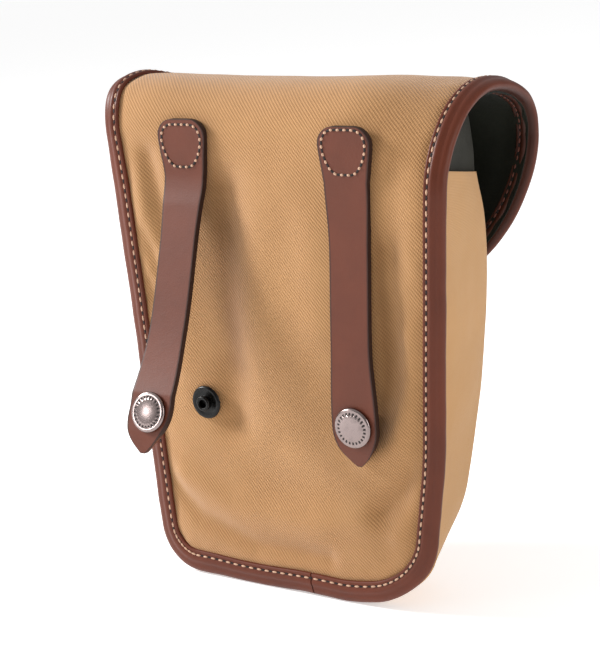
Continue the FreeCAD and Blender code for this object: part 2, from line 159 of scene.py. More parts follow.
class Signal:
    """A number or vector inside a material; arithmetic on it adds the matching nodes."""

    def __init__(self, finish, socket):
        self.finish = finish
        self.socket = socket

    def maths(self, operation, *values):
        return self.finish.node("ShaderNodeMath", {"operation": operation}, dict(enumerate(values)))

    def __add__(self, other):
        return self.maths("ADD", self, other)

    def __sub__(self, other):
        return self.maths("SUBTRACT", self, other)

    def __rsub__(self, other):
        return self.maths("SUBTRACT", other, self)

    def __mul__(self, other):
        return self.maths("MULTIPLY", self, other)

    def __truediv__(self, other):
        return self.maths("DIVIDE", self, other)

    def __pow__(self, other):
        return self.maths("POWER", self, other)

    __radd__ = __add__
    __rmul__ = __mul__

    def wave(self):
        """Smooth wave from 0 to 1 with a period of 1."""
        return self.maths("COSINE", self * math.tau) * 0.5 + 0.5

    def between(self, low, high):
        """0 below low, 1 above high and a smooth step between them."""
        return self.finish.node(
            "ShaderNodeMapRange", {"interpolation_type": "SMOOTHSTEP"},
            {"Value": self, "From Min": low, "From Max": high, "To Min": 0.0, "To Max": 1.0})


class Wiring:
    """A tree of shader nodes while it is being put together."""

    def __init__(self, tree):
        self.tree = tree

    def node(self, kind, settings=None, inputs=None, output=0):
        """Add a node: its settings first, then the values or links of its sockets."""
        made = self.tree.nodes.new(kind)
        for key, value in (settings or {}).items():
            setattr(made, key, value)
        for key, value in (inputs or {}).items():
            self.feed(made.inputs[key], value)
        return Signal(self, made.outputs[output])

    def feed(self, socket, value):
        """Link a signal to a socket, or set the socket's own value."""
        if isinstance(value, Signal):
            self.tree.links.new(value.socket, socket)
        elif hasattr(value, "__len__") and len(socket.default_value) == len(value) + 1:
            socket.default_value = (*value, 1.0)
        else:
            socket.default_value = value


class Finish(Wiring):
    """One procedural material while it is being put together."""

    def __init__(self, name):
        self.material = bpy.data.materials.new(name)
        self.material.use_nodes = True
        super().__init__(self.material.node_tree)
        self.shader = self.tree.nodes["Principled BSDF"]

    def chart(self):
        """The piece's own UV map, in metres along the cloth, as two signals."""
        return self.parts(self.node("ShaderNodeUVMap", {"uv_map": "UVMap"}))

    def place(self):
        """Position on the piece, in metres."""
        return self.node("ShaderNodeTexCoord", None, None, "Object")

    def parts(self, vector):
        """The X and Y parts of a vector."""
        first = self.node("ShaderNodeSeparateXYZ", None, {0: vector})
        return first, Signal(self, first.socket.node.outputs[1])

    def grain(self, scale, detail=3.0, vector=None, roughness=0.5):
        """Cloudy noise from 0 to 1, with a number of features per metre."""
        return self.node(
            "ShaderNodeTexNoise", None,
            {"Vector": vector or self.place(), "Scale": scale, "Detail": detail, "Roughness": roughness},
            "Fac")

    def pebble(self, scale):
        """Rounded leather cells, 0 at the middle of each."""
        return self.node("ShaderNodeTexVoronoi", None, {"Vector": self.place(), "Scale": scale}, "Distance")

    def painted(self, name):
        """A value painted on the piece's points."""
        return self.node("ShaderNodeAttribute", {"attribute_name": name}, None, "Fac")

    def stretched(self, across, along):
        """UV position with its two directions scaled apart."""
        return self.node(
            "ShaderNodeVectorMath", {"operation": "MULTIPLY"},
            {0: self.node("ShaderNodeUVMap", {"uv_map": "UVMap"}), 1: (across, along, 1.0)})

    def mix(self, factor, first, second):
        """Blend two colours."""
        return self.node(
            "ShaderNodeMix", {"data_type": "RGBA"}, {"Factor": factor, 6: first, 7: second}, 2)

    def bump(self, height, distance, strength=1.0, under=None):
        """Surface relief from a height signal, over another relief where one is given."""
        inputs = {"Height": height, "Distance": distance, "Strength": strength}
        if under is not None:
            inputs["Normal"] = under
        return self.node("ShaderNodeBump", None, inputs)

    def set(self, **values):
        """Set or link the shader's sockets by name."""
        for name, value in values.items():
            self.feed(self.shader.inputs[name.replace("_", " ")], value)
        return self.material


def tinted(colour, share):
    """A colour made darker or lighter."""
    return tuple(part * share for part in colour)


FINISHES = {}


def finish_named(maker):
    """Build each material once and hand out the same one afterwards."""
    def build():
        if maker.__name__ not in FINISHES:
            FINISHES[maker.__name__] = maker()
        return FINISHES[maker.__name__]
    return build


TWILL_SLOPE = math.radians(47)
# how strongly the painted shade and painted shadow darken the canvas
SHADE_STRENGTH = 0.75


@finish_named
def twill_canvas():
    """Tan cotton with steep diagonal ribs, running down to the right."""
    finish = Finish("twill_canvas")
    across, along = finish.chart()
    pitch = sizes().twill_pitch
    drift = finish.grain(60.0, 2.0)
    rise, level = math.sin(TWILL_SLOPE), math.cos(TWILL_SLOPE)
    counter = (across * rise + along * level) / pitch + drift * 0.9
    run = (across * level - along * rise) / (pitch * 0.75)
    rib = counter.wave()
    floats = (run + counter * 0.5).wave()
    fibres = finish.grain(5200.0, 2.0)
    slub = finish.grain(1.0, 3.0, finish.stretched(900.0, 70.0))
    height = rib * 0.6 + floats * 0.25 + fibres * 0.25
    mottle = finish.grain(28.0, 4.0)
    worn = finish.grain(9.0, 3.0)
    # painted shade: the canvas darkens towards its base
    low = (along * -14.0 + 1.0).between(0.0, 1.0)
    patchy = finish.grain(45.0, 3.0).between(0.3, 0.7) * 0.35 + 0.6
    weave = 1.0 - (1.0 - (rib * 0.6 + floats * 0.4).between(0.0, 0.85)) * patchy
    tone = finish.mix(weave, colours().canvas_groove, colours().canvas)
    tone = finish.mix(mottle.between(0.3, 0.75) * 0.22, tone, tinted(colours().canvas, 1.16))
    tone = finish.mix(slub.between(0.52, 0.72) * 0.2, tone, tinted(colours().canvas, 0.72))
    # random wear darkens the canvas in patches, and the painted shade at the base is added to it
    tone = finish.mix(worn.between(0.45, 0.8) * 0.14 + low * 0.16, tone, colours().canvas_groove)
    # painted shade in the folds and painted shadow beside the straps, from the points' painted values
    tone = finish.mix(finish.painted("rim") * SHADE_STRENGTH, tone, colours().canvas_shade)
    relief = finish.bump(height, 0.0003, 0.7)
    return finish.set(
        Base_Color=tone, Roughness=0.82 + fibres * 0.12, Normal=relief,
        Sheen_Weight=0.25, Sheen_Roughness=0.5, Specular_IOR_Level=0.25)


@finish_named
def gusset_canvas():
    """Tan cotton of the body, a close plain weave that looks smooth."""
    finish = Finish("gusset_canvas")
    across, along = finish.chart()
    warp = (across / 0.00055).wave()
    weft = (along / 0.00060).wave()
    fibres = finish.grain(4200.0, 2.0)
    mottle = finish.grain(24.0, 4.0)
    tone = finish.mix(warp * weft * 0.3 + fibres * 0.25, tinted(colours().gusset, 0.86), colours().gusset)
    tone = finish.mix(mottle.between(0.35, 0.75) * 0.25, tone, tinted(colours().gusset, 1.12))
    relief = finish.bump(warp + weft + fibres * 0.8, 0.00008, 0.6)
    relief = finish.bump(finish.grain(160.0, 3.0), 0.0006, 0.35, relief)
    return finish.set(
        Base_Color=tone, Roughness=0.8 + fibres * 0.12, Normal=relief,
        Sheen_Weight=0.25, Sheen_Roughness=0.5, Specular_IOR_Level=0.25)


def hide(name, colour, gloss, grain_depth, shine):
    """Leather with fine pebbled grain, cloudy colour, dark burnished edges and painted shade where its
    points ask for it.
    """
    finish = Finish(name)
    cells = finish.pebble(1500.0)
    fine = finish.grain(2600.0, 3.0)
    cloud = finish.grain(38.0, 4.0)
    streak = finish.grain(220.0, 3.0)
    rim = finish.painted("rim")
    tone = finish.mix(cloud.between(0.3, 0.72) * 0.55, tinted(colour, 0.84), tinted(colour, 1.18))
    tone = finish.mix(streak.between(0.5, 0.8) * 0.25, tone, tinted(colour, 0.7))
    # painted values darken towards the burnish colour: real burnish on strap edges, painted shade on the
    # binding's inner leg
    tone = finish.mix(rim * 0.95, tone, colours().burnish_and_shade)
    relief = finish.bump(cells * 0.7 + fine * 0.5, grain_depth, 0.5)
    relief = finish.bump(streak, 0.00025, 0.25, relief)
    return finish.set(
        Base_Color=tone, Roughness=gloss + fine * 0.16 + cloud * 0.1, Normal=relief,
        Coat_Weight=0.06, Coat_Roughness=0.3, Specular_IOR_Level=shine)


@finish_named
def strap_hide():
    """Chestnut strap leather, close grained."""
    return hide("strap_hide", colours().leather, 0.40, 0.00007, 0.28)


@finish_named
def binding_hide():
    """Slightly darker, softer edge leather."""
    return hide("binding_hide", colours().binding, 0.34, 0.00009, 0.2)


@finish_named
def waxed_thread():
    """Pale pink waxed thread, faintly twisted."""
    finish = Finish("waxed_thread")
    twist = finish.grain(2400.0, 2.0)
    tone = finish.mix(twist.between(0.35, 0.7), tinted(colours().thread, 0.75), colours().thread)
    return finish.set(
        Base_Color=tone, Roughness=0.55 + twist * 0.2, Normal=finish.bump(twist, 0.0001, 0.6),
        Sheen_Weight=0.2)


@finish_named
def dark_thread():
    """Thread of the inner rows, painted dark brown as painted shade inside the pouch."""
    finish = Finish("dark_thread")
    twist = finish.grain(2400.0, 2.0)
    tone = finish.mix(twist, tinted(colours().binding, 0.4), colours().binding)
    return finish.set(Base_Color=tone, Roughness=0.7, Normal=finish.bump(twist, 0.0001, 0.6))


@finish_named
def needle_hole():
    """Painted shade of a needle hole: a dark mark on the leather."""
    finish = Finish("needle_hole")
    depth = finish.grain(1800.0, 2.0)
    tone = finish.mix(depth, tinted(colours().burnish_and_shade, 0.3), colours().burnish_and_shade)
    return finish.set(Base_Color=tone, Roughness=0.8, Normal=finish.bump(depth, 0.0001, 0.5))


def close_weave(name, colour, pitch, shine):
    """Dark proofed cloth with a fine plain weave."""
    finish = Finish(name)
    across, along = finish.chart()
    weave = (across / pitch).wave() + (along / pitch).wave()
    fibres = finish.grain(3000.0, 2.0)
    cloud = finish.grain(30.0, 3.0)
    tone = finish.mix(cloud.between(0.3, 0.7), tinted(colour, 0.8), tinted(colour, 1.3))
    relief = finish.bump(weave * 0.5 + fibres * 0.5, 0.00012, 0.6)
    return finish.set(
        Base_Color=tone, Roughness=shine + fibres * 0.15, Normal=relief, Sheen_Weight=0.04,
        Specular_IOR_Level=0.18)


@finish_named
def dark_lining():
    """Near-black olive lining."""
    return close_weave("dark_lining", colours().lining, 0.0006, 0.62)


@finish_named
def ear_cloth():
    """Olive-grey proofed cloth of the storm ears."""
    return close_weave("ear_cloth", colours().ear, 0.0005, 0.55)


@finish_named
def antique_silver():
    """Plated cap with fine wear and darker patches."""
    finish = Finish("antique_silver")
    smear = finish.grain(420.0, 4.0)
    scratch = finish.grain(2600.0, 2.0)
    tone = finish.mix(smear.between(0.42, 0.8) * 0.35, colours().silver, tinted(colours().silver, 0.45))
    return finish.set(
        Base_Color=tone, Metallic=1.0, Roughness=0.17 + smear * 0.06 + scratch * 0.02,
        Normal=finish.bump(scratch + smear, 0.00001, 0.5))


@finish_named
def cap_patina():
    """Dark tarnish left in the cap's recesses."""
    finish = Finish("cap_patina")
    smear = finish.grain(900.0, 3.0)
    tone = finish.mix(smear, tinted(colours().patina, 0.5), tinted(colours().patina, 1.4))
    return finish.set(Base_Color=tone, Metallic=0.7, Roughness=0.55 + smear * 0.2)


@finish_named
def black_enamel():
    """Glossy black enamelled steel, thinly worn."""
    finish = Finish("black_enamel")
    wear = finish.grain(700.0, 4.0)
    tone = finish.mix(wear.between(0.55, 0.85) * 0.5, colours().enamel, (0.011, 0.010, 0.009))
    return finish.set(
        Base_Color=tone, Roughness=0.2 + wear * 0.18, Normal=finish.bump(wear, 0.00004, 0.4),
        Specular_IOR_Level=0.22)


@finish_named
def studio_floor():
    """Plain pale floor."""
    finish = Finish("studio_floor")
    cloud = finish.grain(3.0, 2.0)
    tone = finish.mix(cloud, tinted(colours().floor, 0.995), colours().floor)
    return finish.set(
        Base_Color=tone, Roughness=0.9, Specular_IOR_Level=0.1,
        Emission_Color=(1, 1, 1), Emission_Strength=0.46)


# ---------------------------------------------------------------- mesh helpers

def smoothstep(low, high, value):
    """0 below low, 1 above high and a smooth step between them."""
    share = np.clip((value - low) / (high - low), 0, 1)
    return share * share * (3 - 2 * share)


def cloud(points, scale, seed):
    """Smooth noise of about -1 to 1 at points in millimetres, with features of a given size."""
    shift = Vector((seed * 17.3, seed * 5.1, seed * 9.7))
    return np.array([noise.noise(Vector(point) / scale + shift) for point in points])


def deselect():
    """Clear the selection and leave edit mode."""
    if bpy.context.object and bpy.context.object.mode != "OBJECT":
        bpy.ops.object.mode_set(mode="OBJECT")
    bpy.ops.object.select_all(action="DESELECT")


def only(piece):
    """Select one piece alone and make it active."""
    deselect()
    piece.select_set(True)
    bpy.context.view_layer.objects.active = piece


def apply_modifier(piece, kind, **settings):
    """Add a modifier, set it and apply it."""
    only(piece)
    modifier = piece.modifiers.new(kind, kind)
    for key, value in settings.items():
        setattr(modifier, key, value)
    bpy.ops.object.modifier_apply(modifier=modifier.name)


def coordinates(mesh):
    """A mesh's points as an array."""
    flat = np.empty(len(mesh.vertices) * 3)
    mesh.vertices.foreach_get("co", flat)
    return flat.reshape(-1, 3)


def paint_burnish_and_shade(piece, values):
    """Store how dark each point is made: real burnish on strap edges, and painted shade or painted shadow
    in the canvas's folds, beside the straps and on the binding's inner leg.
    """
    layer = piece.data.attributes.get("rim") or piece.data.attributes.new("rim", "FLOAT", "POINT")
    layer.data.foreach_set("value", np.asarray(values, np.float32))


def cloth_grid(name, columns, rows, place, rim=None, flip=False):
    """A flat grid laid onto a surface; flip turns its face to the other side.

    place takes u from -1 to 1 and v from 0 to 1 and returns points and cloth positions in millimetres.
    """
    deselect()
    bpy.ops.mesh.primitive_grid_add(x_subdivisions=columns, y_subdivisions=rows, size=2, calc_uvs=True)
    piece = bpy.context.object
    piece.name = piece.data.name = name
    start = coordinates(piece.data)
    u, v = start[:, 0], (start[:, 1] + 1) / 2
    points, chart = place(u, v)
    piece.data.vertices.foreach_set("co", (points * MM).ravel())
    corner_points = np.empty(len(piece.data.loops), int)
    piece.data.loops.foreach_get("vertex_index", corner_points)
    piece.data.uv_layers[0].data.foreach_set("uv", (chart[corner_points] * MM).ravel())
    paint_burnish_and_shade(piece, np.zeros(len(u)) if rim is None else rim(u, v))
    if flip:
        piece.data.flip_normals()
    piece.data.update()
    return piece


def thicken(piece, thickness):
    """Give a sheet its thickness behind its face, in millimetres."""
    apply_modifier(piece, "SOLIDIFY", thickness=thickness * MM, offset=-1, use_even_offset=True)


def finish_piece(piece, finishes, smooth=math.radians(40)):
    """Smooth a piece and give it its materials."""
    only(piece)
    bpy.ops.object.shade_smooth_by_angle(angle=smooth)
    for finish in finishes:
        piece.data.materials.append(finish)
    return piece


def copy_along(name, templates, frames):
    """One mesh with a copy of each template at every frame.

    templates are (object, material index); frames are 4x4 arrays in metres. The templates are removed.
    """
    points, faces, indices, offset = [], [], [], 0
    for template, material in templates:
        base = coordinates(template.data)
        shapes = [tuple(face.vertices) for face in template.data.polygons]
        for matrix in frames:
            points.append(base @ matrix[:3, :3].T + matrix[:3, 3])
            faces += [tuple(index + offset for index in shape) for shape in shapes]
            indices += [material] * len(shapes)
            offset += len(base)
        bpy.data.objects.remove(template)
    mesh = bpy.data.meshes.new(name)
    mesh.from_pydata(np.concatenate(points).tolist(), [], faces)
    mesh.polygons.foreach_set("material_index", indices)
    piece = bpy.data.objects.new(name, mesh)
    bpy.context.collection.objects.link(piece)
    return piece


def stitch_templates(length, radius, pitch):
    """One raised stitch and, after it, a dark mark of painted shade for the needle holes, lying along X."""
    templates = []
    for index, (place, scale) in enumerate((
        ((0, 0, radius * 0.35), (length / 2, radius, radius * 0.8)),
        ((pitch / 2, 0, 0), ((pitch - length) / 2 + 0.12, radius * 1.05, radius * 0.4)),
    )):
        deselect()
        bpy.ops.mesh.primitive_uv_sphere_add(segments=8, ring_count=5, radius=1)
        template = bpy.context.object
        stretch = Matrix.Diagonal((*(Vector(scale) * MM), 1))
        template.data.transform(Matrix.Translation(Vector(place) * MM) @ stretch)
        templates.append((template, index))
    return templates


def stitch_frames(points, tangents, normals):
    """4x4 frames with X along the seam and Z off the surface, for points in millimetres."""
    frames = []
    for point, tangent, normal in zip(points, tangents, normals):
        tangent = tangent / np.linalg.norm(tangent)
        normal = normal - tangent * (normal @ tangent)
        normal = normal / np.linalg.norm(normal)
        frame_matrix = np.eye(4)
        frame_matrix[:3, 0] = tangent
        frame_matrix[:3, 1] = np.cross(normal, tangent)
        frame_matrix[:3, 2] = normal
        frame_matrix[:3, 3] = point * MM
        frames.append(frame_matrix)
    return frames


def sew(name, points, tangents, normals, length, radius, thread=None):
    """A closed row of stitches with a dark mark of painted shade after each."""
    pitch = float(np.linalg.norm(np.diff(points, axis=0), axis=1).mean())
    frames = stitch_frames(points, tangents, normals)
    piece = copy_along(name, stitch_templates(length, radius, pitch), frames)
    return finish_piece(piece, [thread or waxed_thread(), needle_hole()])


def resample(path, count):
    """Points evenly spaced along an open path given by many points."""
    steps = np.linalg.norm(np.diff(path, axis=0), axis=1)
    lengths = np.concatenate([[0], np.cumsum(steps)])
    wanted = np.linspace(0, lengths[-1], count)
    return np.stack([np.interp(wanted, lengths, path[:, axis]) for axis in range(path.shape[1])], axis=1)


def path_length(path):
    """Length of a path given by many points."""
    return float(np.linalg.norm(np.diff(path, axis=0), axis=1).sum())


def close_up(piece, gap=0.0001, cap_ends=False):
    """Merge doubled points, close open ends where asked, and point every face outwards."""
    only(piece)
    bpy.ops.object.mode_set(mode="EDIT")
    bpy.ops.mesh.select_all(action="SELECT")
    bpy.ops.mesh.remove_doubles(threshold=gap)
    if cap_ends:
        bpy.ops.mesh.select_all(action="DESELECT")
        bpy.ops.mesh.select_mode(type="EDGE")
        bpy.ops.mesh.select_non_manifold(extend=False, use_wire=False, use_multi_face=False,
                                         use_non_contiguous=False, use_verts=False)
        bpy.ops.mesh.edge_face_add()
    bpy.ops.mesh.select_all(action="SELECT")
    bpy.ops.mesh.normals_make_consistent(inside=False)
    bpy.ops.object.mode_set(mode="OBJECT")
    return piece


def round_rims(piece, width, segments=2):
    """Round the sharp rims that thickening a sheet leaves."""
    apply_modifier(piece, "BEVEL", width=width * MM, segments=segments, limit_method="ANGLE",
                   angle_limit=math.radians(50), use_clamp_overlap=True)


def dense_ends(share):
    """Spread 0 to 1 so that steps are short at both ends."""
    return (1 - np.cos(math.pi * share)) / 2


# ---------------------------------------------------------------- outlines

BACK_FACE = node_low("back_panel_cloth").y
FLAP_LOW = node_low("flap_binding").z
MOUTH = node_high("gusset_cloth").z
FRONT_FACE = node_high("front_panel_cloth").y
GUSSET_BACK = node_low("gusset_cloth").y
SNAP_HEIGHT = (node_low("belt_stud_left").z + node_high("belt_stud_left").z) / 2
CLOSURE_SNAP = (node_low("closure_stud").z + node_high("closure_stud").z) / 2

# length and turn in degrees of each run of the side view, from the base up, over and down the front
SIDE_RUNS = ((178.0, 0), (37.7, -90), (38.7, -37), (42.1, -67), (30.2, 0), (14.7, 14), (30.0, 0))
# the right edge bends earlier and more loosely
RIGHT_RUNS = ((160.1, 0), (58.3, -88.8), (30.2, -31.3), (23.1, -64.7), (55.0, -6), (14.7, 14), (40.0, 0))
# how much shorter the right edge's line is than the middle's, by the end of its bend
RIGHT_SHORTER = 8.0
# where across the pouch the right edge's line takes over from the middle's
RIGHT_TAKES_OVER = (34, 74)
RIGHT_DRAWN_IN = 3.4
RIGHT_CORNER_LIFT = 5.4
LEFT_CORNER = 19.0
TOP_SAG = 2.2
LEFT_TIGHTER = 3.2
LEFT_DROOP = 0.9
FINE_STEP = 0.25


def u_half(height, low, corner, half, taper):
    """Half width of an outline with tapered sides and two round lower corners."""
    slant = math.atan(taper)
    centre_z = low + corner
    centre_x = half + taper * centre_z - corner / math.cos(slant)
    arc = centre_x + np.sqrt(np.maximum(corner ** 2 - (centre_z - height) ** 2, 0))
    return np.where(height >= centre_z - corner * math.sin(slant), half + taper * height, arc)


class SideView:
    """Side view of the back panel and flap as one line, measured along the cloth from the base."""

    def __init__(self):
        self.along, self.heading, self.y, self.z = self.drawn(SIDE_RUNS)
        self.top = self.along[np.argmax(self.z)]
        right_along, *right = self.drawn(RIGHT_RUNS)
        matched = self.along - RIGHT_SHORTER * smoothstep(160, 300, self.along)
        self.right_heading, self.right_y, self.right_z = (
            np.interp(matched, right_along, row) for row in right)
        falling = self.along > self.top
        self.tip = float(np.interp(-FLAP_LOW, -self.z[falling], self.along[falling]))

    @staticmethod
    def drawn(runs):
        """Distance, heading, y and z along a line of straight and bent runs."""
        ends = np.cumsum([0, *(length for length, turn in runs)])
        headings = 90 + np.cumsum([0, *(turn for length, turn in runs)])
        along = np.arange(0, ends[-1], FINE_STEP)
        heading = np.radians(np.interp(along, ends, headings))
        y = np.cumsum(np.cos(heading)) * FINE_STEP
        z = np.cumsum(np.sin(heading)) * FINE_STEP
        return along, heading, BACK_FACE + y - y[0], z - z[0]

    def at(self, s, values):
        """A value of the side view at places along it."""
        return np.interp(s, self.along, values)

    def across(self, x, s, middle, right):
        """A value of the side view that changes towards the right edge."""
        share = smoothstep(*RIGHT_TAKES_OVER, x)
        return self.at(s, middle) * (1 - share) + self.at(s, right) * share

    def half(self, s, corner=None):
        """Half width of the panel and flap at places along them, with a given lower corner."""
        height = self.at(s, self.z)
        settings = (mm("half_width"), sizes().taper)
        back = u_half(height, 0.0, corner or mm("panel_corner"), *settings)
        front = u_half(height, FLAP_LOW, mm("flap_corner"), *settings)
        return np.where(s < self.top, back, front)

    def edges(self, s):
        """Left and right edges: a tighter corner on the left, drawn in a little low on the right."""
        return -self.half(s, LEFT_CORNER), self.half(s) - RIGHT_DRAWN_IN * smoothstep(66, 6, s)

    def height_at_front(self, z):
        """Place along the side view where the flap's front passes a height."""
        falling = self.along > self.top
        return np.interp(-z, -self.z[falling], self.along[falling])


SIDE = SideView()


def base_lift(x, s):
    """How far the lower edge rises at its right end and wavers on the way."""
    right_end = RIGHT_CORNER_LIFT * smoothstep(20, 60, x)
    waver = 0.25 * np.sin(x / 8.5 + 0.6) * smoothstep(60, 30, np.abs(x))
    return (right_end + waver + 0.25) * smoothstep(85, 0, s)


def shell_form(x, s):
    """How the whole wall leaves its plain side view: a sagging top and a tighter bend on the left."""
    over_top = smoothstep(196, 216, s) * (1 - smoothstep(258, 290, s))
    sag = -TOP_SAG * (1 - np.clip(x / 72, -1, 1) ** 2) * over_top
    tight = LEFT_TIGHTER * smoothstep(5, 62, -x) * np.exp(-((s - 197) / 11) ** 2)
    droop = -LEFT_DROOP * smoothstep(30, 70, -x) * smoothstep(214, 228, s) * (1 - smoothstep(250, 270, s))
    return sag + tight + droop


def shell_point(x, s, out):
    """Points over the back panel and flap: across, along from the base, and out from the cloth."""
    heading = SIDE.across(x, s, SIDE.heading, SIDE.right_heading)
    reach = out + shell_form(x, s)
    y = SIDE.across(x, s, SIDE.y, SIDE.right_y) - np.sin(heading) * reach
    z = SIDE.across(x, s, SIDE.z, SIDE.right_z) + np.cos(heading) * reach
    return np.stack([x, y, z + base_lift(x, s)], axis=1)


def shell_normal(x, s):
    """Outward normals over the back panel and flap."""
    heading = SIDE.across(x, s, SIDE.heading, SIDE.right_heading)
    return np.stack([np.zeros_like(s), -np.sin(heading), np.cos(heading)], axis=1)


def shell_outline():
    """Edge of the flattened panel and flap, from the binding's joint round to the joint again."""
    s = SIDE.tip * dense_ends(np.linspace(0, 1, 700))
    left, right = SIDE.edges(s)
    joint = mm("binding_joint")
    return np.vstack([
        [[joint + 0.25, 0]], np.stack([right, s], 1), np.stack([left, s], 1)[::-1], [[joint - 0.25, 0]]])


def edge_stations(count):
    """Evenly spaced places round the edge with their directions along it and into the cloth."""
    line = resample(shell_outline(), count)
    ahead = np.gradient(line, axis=0)
    ahead /= np.linalg.norm(ahead, axis=1, keepdims=True)
    return line, ahead, np.stack([-ahead[:, 1], ahead[:, 0]], axis=1)


def distance_to(line, points):
    """Distance from flat points to the nearest point of a line."""
    tree = kdtree.KDTree(len(line))
    for index, (across, along) in enumerate(line):
        tree.insert((across, along, 0), index)
    tree.balance()
    return np.array([tree.find((across, along, 0))[2] for across, along in points])


def crease(x, s, line, width):
    """1 on a crease drawn through a few places, fading to 0 over its width."""
    near = np.full(len(x), 1e9)
    points = np.stack([x, s], axis=1)
    for start, end in zip(line[:-1], line[1:]):
        start, span = np.array(start, float), np.array(end, float) - np.array(start, float)
        share = np.clip((points - start) @ span / (span @ span), 0, 1)
        near = np.minimum(near, np.linalg.norm(points - start - share[:, None] * span, axis=1))
    return np.exp(-(near / width) ** 2)


# line through the cloth, width and depth of each fold; positive stands out
FOLDS = (
    (((-20, 160), (-22, 130), (-24, 98), (-24, 70)), 9.0, -3.2),
    (((-4, 150), (-2, 104)), 14.0, 0.6),
    (((-36.5, 150), (-36.5, 100)), 12.0, -2.4),
    (((50, 140), (50.5, 104), (49, 88), (41, 72)), 6.5, -2.0),
    (((59, 110), (58, 88), (50, 68), (36, 60)), 5.0, 1.3),
    (((66, 66), (56, 52), (42, 38)), 5.5, -2.4),
    (((63, 44), (50, 28)), 5.0, 1.4),
    (((-60, 40), (-44, 26), (-18, 18), (16, 17)), 4.5, -1.7),
    (((-52, 44), (-28, 32), (10, 30), (34, 34)), 6.0, 1.2),
    (((-14, 48), (19, 44)), 10.0, -1.2),
    (((-63, 166), (-61, 140)), 4.5, 0.7),
    (((-56, 172), (-50, 140)), 4.5, -2.0),
    (((-62, 142), (-50, 116)), 3.2, -1.3),
    (((-62, 122), (-51, 100)), 3.2, -1.3),
    (((-60, 104), (-52, 84)), 3.2, -1.0),
    (((18, 150), (20, 110)), 9.0, 0.9),
    (((54, 168), (53, 140)), 6.0, -0.8),
    (((-45, 250), (-5, 262), (40, 252)), 14.0, 0.7),
    (((-30, 300), (0, 322), (32, 298)), 16.0, 0.8),
)


PAD_RISE = 1.25
SEAM_SINK = 0.75
PUCKER_DEPTH = 0.45


def cloth_relief(x, s, edge):
    """Padding, puckers and folds of the outer cloth, 0 out past the stitching."""
    inside = edge - mm("binding_width")
    pad = PAD_RISE * (1 - np.exp(-np.maximum(inside, 0) / 5.0)) - SEAM_SINK
    points = np.stack([x, s, np.zeros_like(x)], axis=1)
    pucker = PUCKER_DEPTH * cloud(points, 7.5, 1) * np.exp(-np.maximum(inside, 0) / 8.0)
    waves = 0.6 * cloud(points, 38.0, 2) + 0.25 * cloud(points, 15.0, 3)
    folds = sum(depth * crease(x, s, line, width) for line, width, depth in FOLDS)
    return pad + pucker + (waves + folds) * smoothstep(-1, 9, inside)


# ---------------------------------------------------------------- back panel and flap

FOAM_DEPTH = 3.35
LINING_DEPTH = 0.7
LINING_GAP = 0.05
EDGE_INSET = 3.2
SHELL_GRID, SHELL_LINING_GRID = (132, 300), (72, 200)


def fold_with_flap(piece):
    """Bake a piece's placement into its points."""
    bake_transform(piece)


def shell_place(depth, relief):
    """Surface function of a cloth that lies along the panel and flap at a depth in the wall."""
    def place(u, v):
        s = EDGE_INSET + (SIDE.tip - 2 * EDGE_INSET) * (0.35 * dense_ends(v) + 0.65 * v)
        left, right = SIDE.edges(s)
        x = u * (np.where(u < 0, -left, right) - EDGE_INSET)
        return shell_point(x, s, relief(x, s) - depth), np.stack([x, s], axis=1)
    return place


def outer_relief(x, s):
    """Relief of the outer cloth with its distance from the edge worked out."""
    outline = resample(shell_outline(), 900)
    return cloth_relief(x, s, distance_to(outline, np.stack([x, s], axis=1)))


def lining_relief(x, s):
    """Slight slack in the lining, pushed in where the outer cloth folds inwards."""
    points = np.stack([x, s, np.zeros_like(x)], axis=1)
    loose = smoothstep(0, 12, SIDE.half(s) - np.abs(x) - mm("binding_width"))
    slack = (0.35 * cloud(points, 22.0, 6) + 0.2 * cloud(points, 9.0, 7) - 0.2) * loose
    return np.minimum(slack, outer_relief(x, s) + 0.25 * loose)


# painted shadows beside the straps: places, width and strength of each line
PAINTED_STRAP_SHADOWS = (
    (((-25, 182), (-25, 150), (-24, 118), (-22, 92)), 6.0, 0.5),
    (((-21, 140), (-18, 108)), 10.0, 0.3),
    (((48, 182), (46.5, 150), (47.5, 96), (45, 78), (38, 64)), 2.6, 0.55),
    (((51, 120), (51, 92)), 6.0, 0.15),
)
# folds this wide or wider get no painted shade
NARROW_FOLD = 10


def fold_shade(x, s):
    """Painted shade in the cloth's narrow folds and painted shadow beside the straps, 0 to 1."""
    low = sum(-depth / 10 * crease(x, s, line, width)
              for line, width, depth in FOLDS if depth < 0 and width < NARROW_FOLD)
    marks = sum(strength * crease(x, s, line, width) for line, width, strength in PAINTED_STRAP_SHADOWS)
    return np.clip(low + marks, 0, 1)


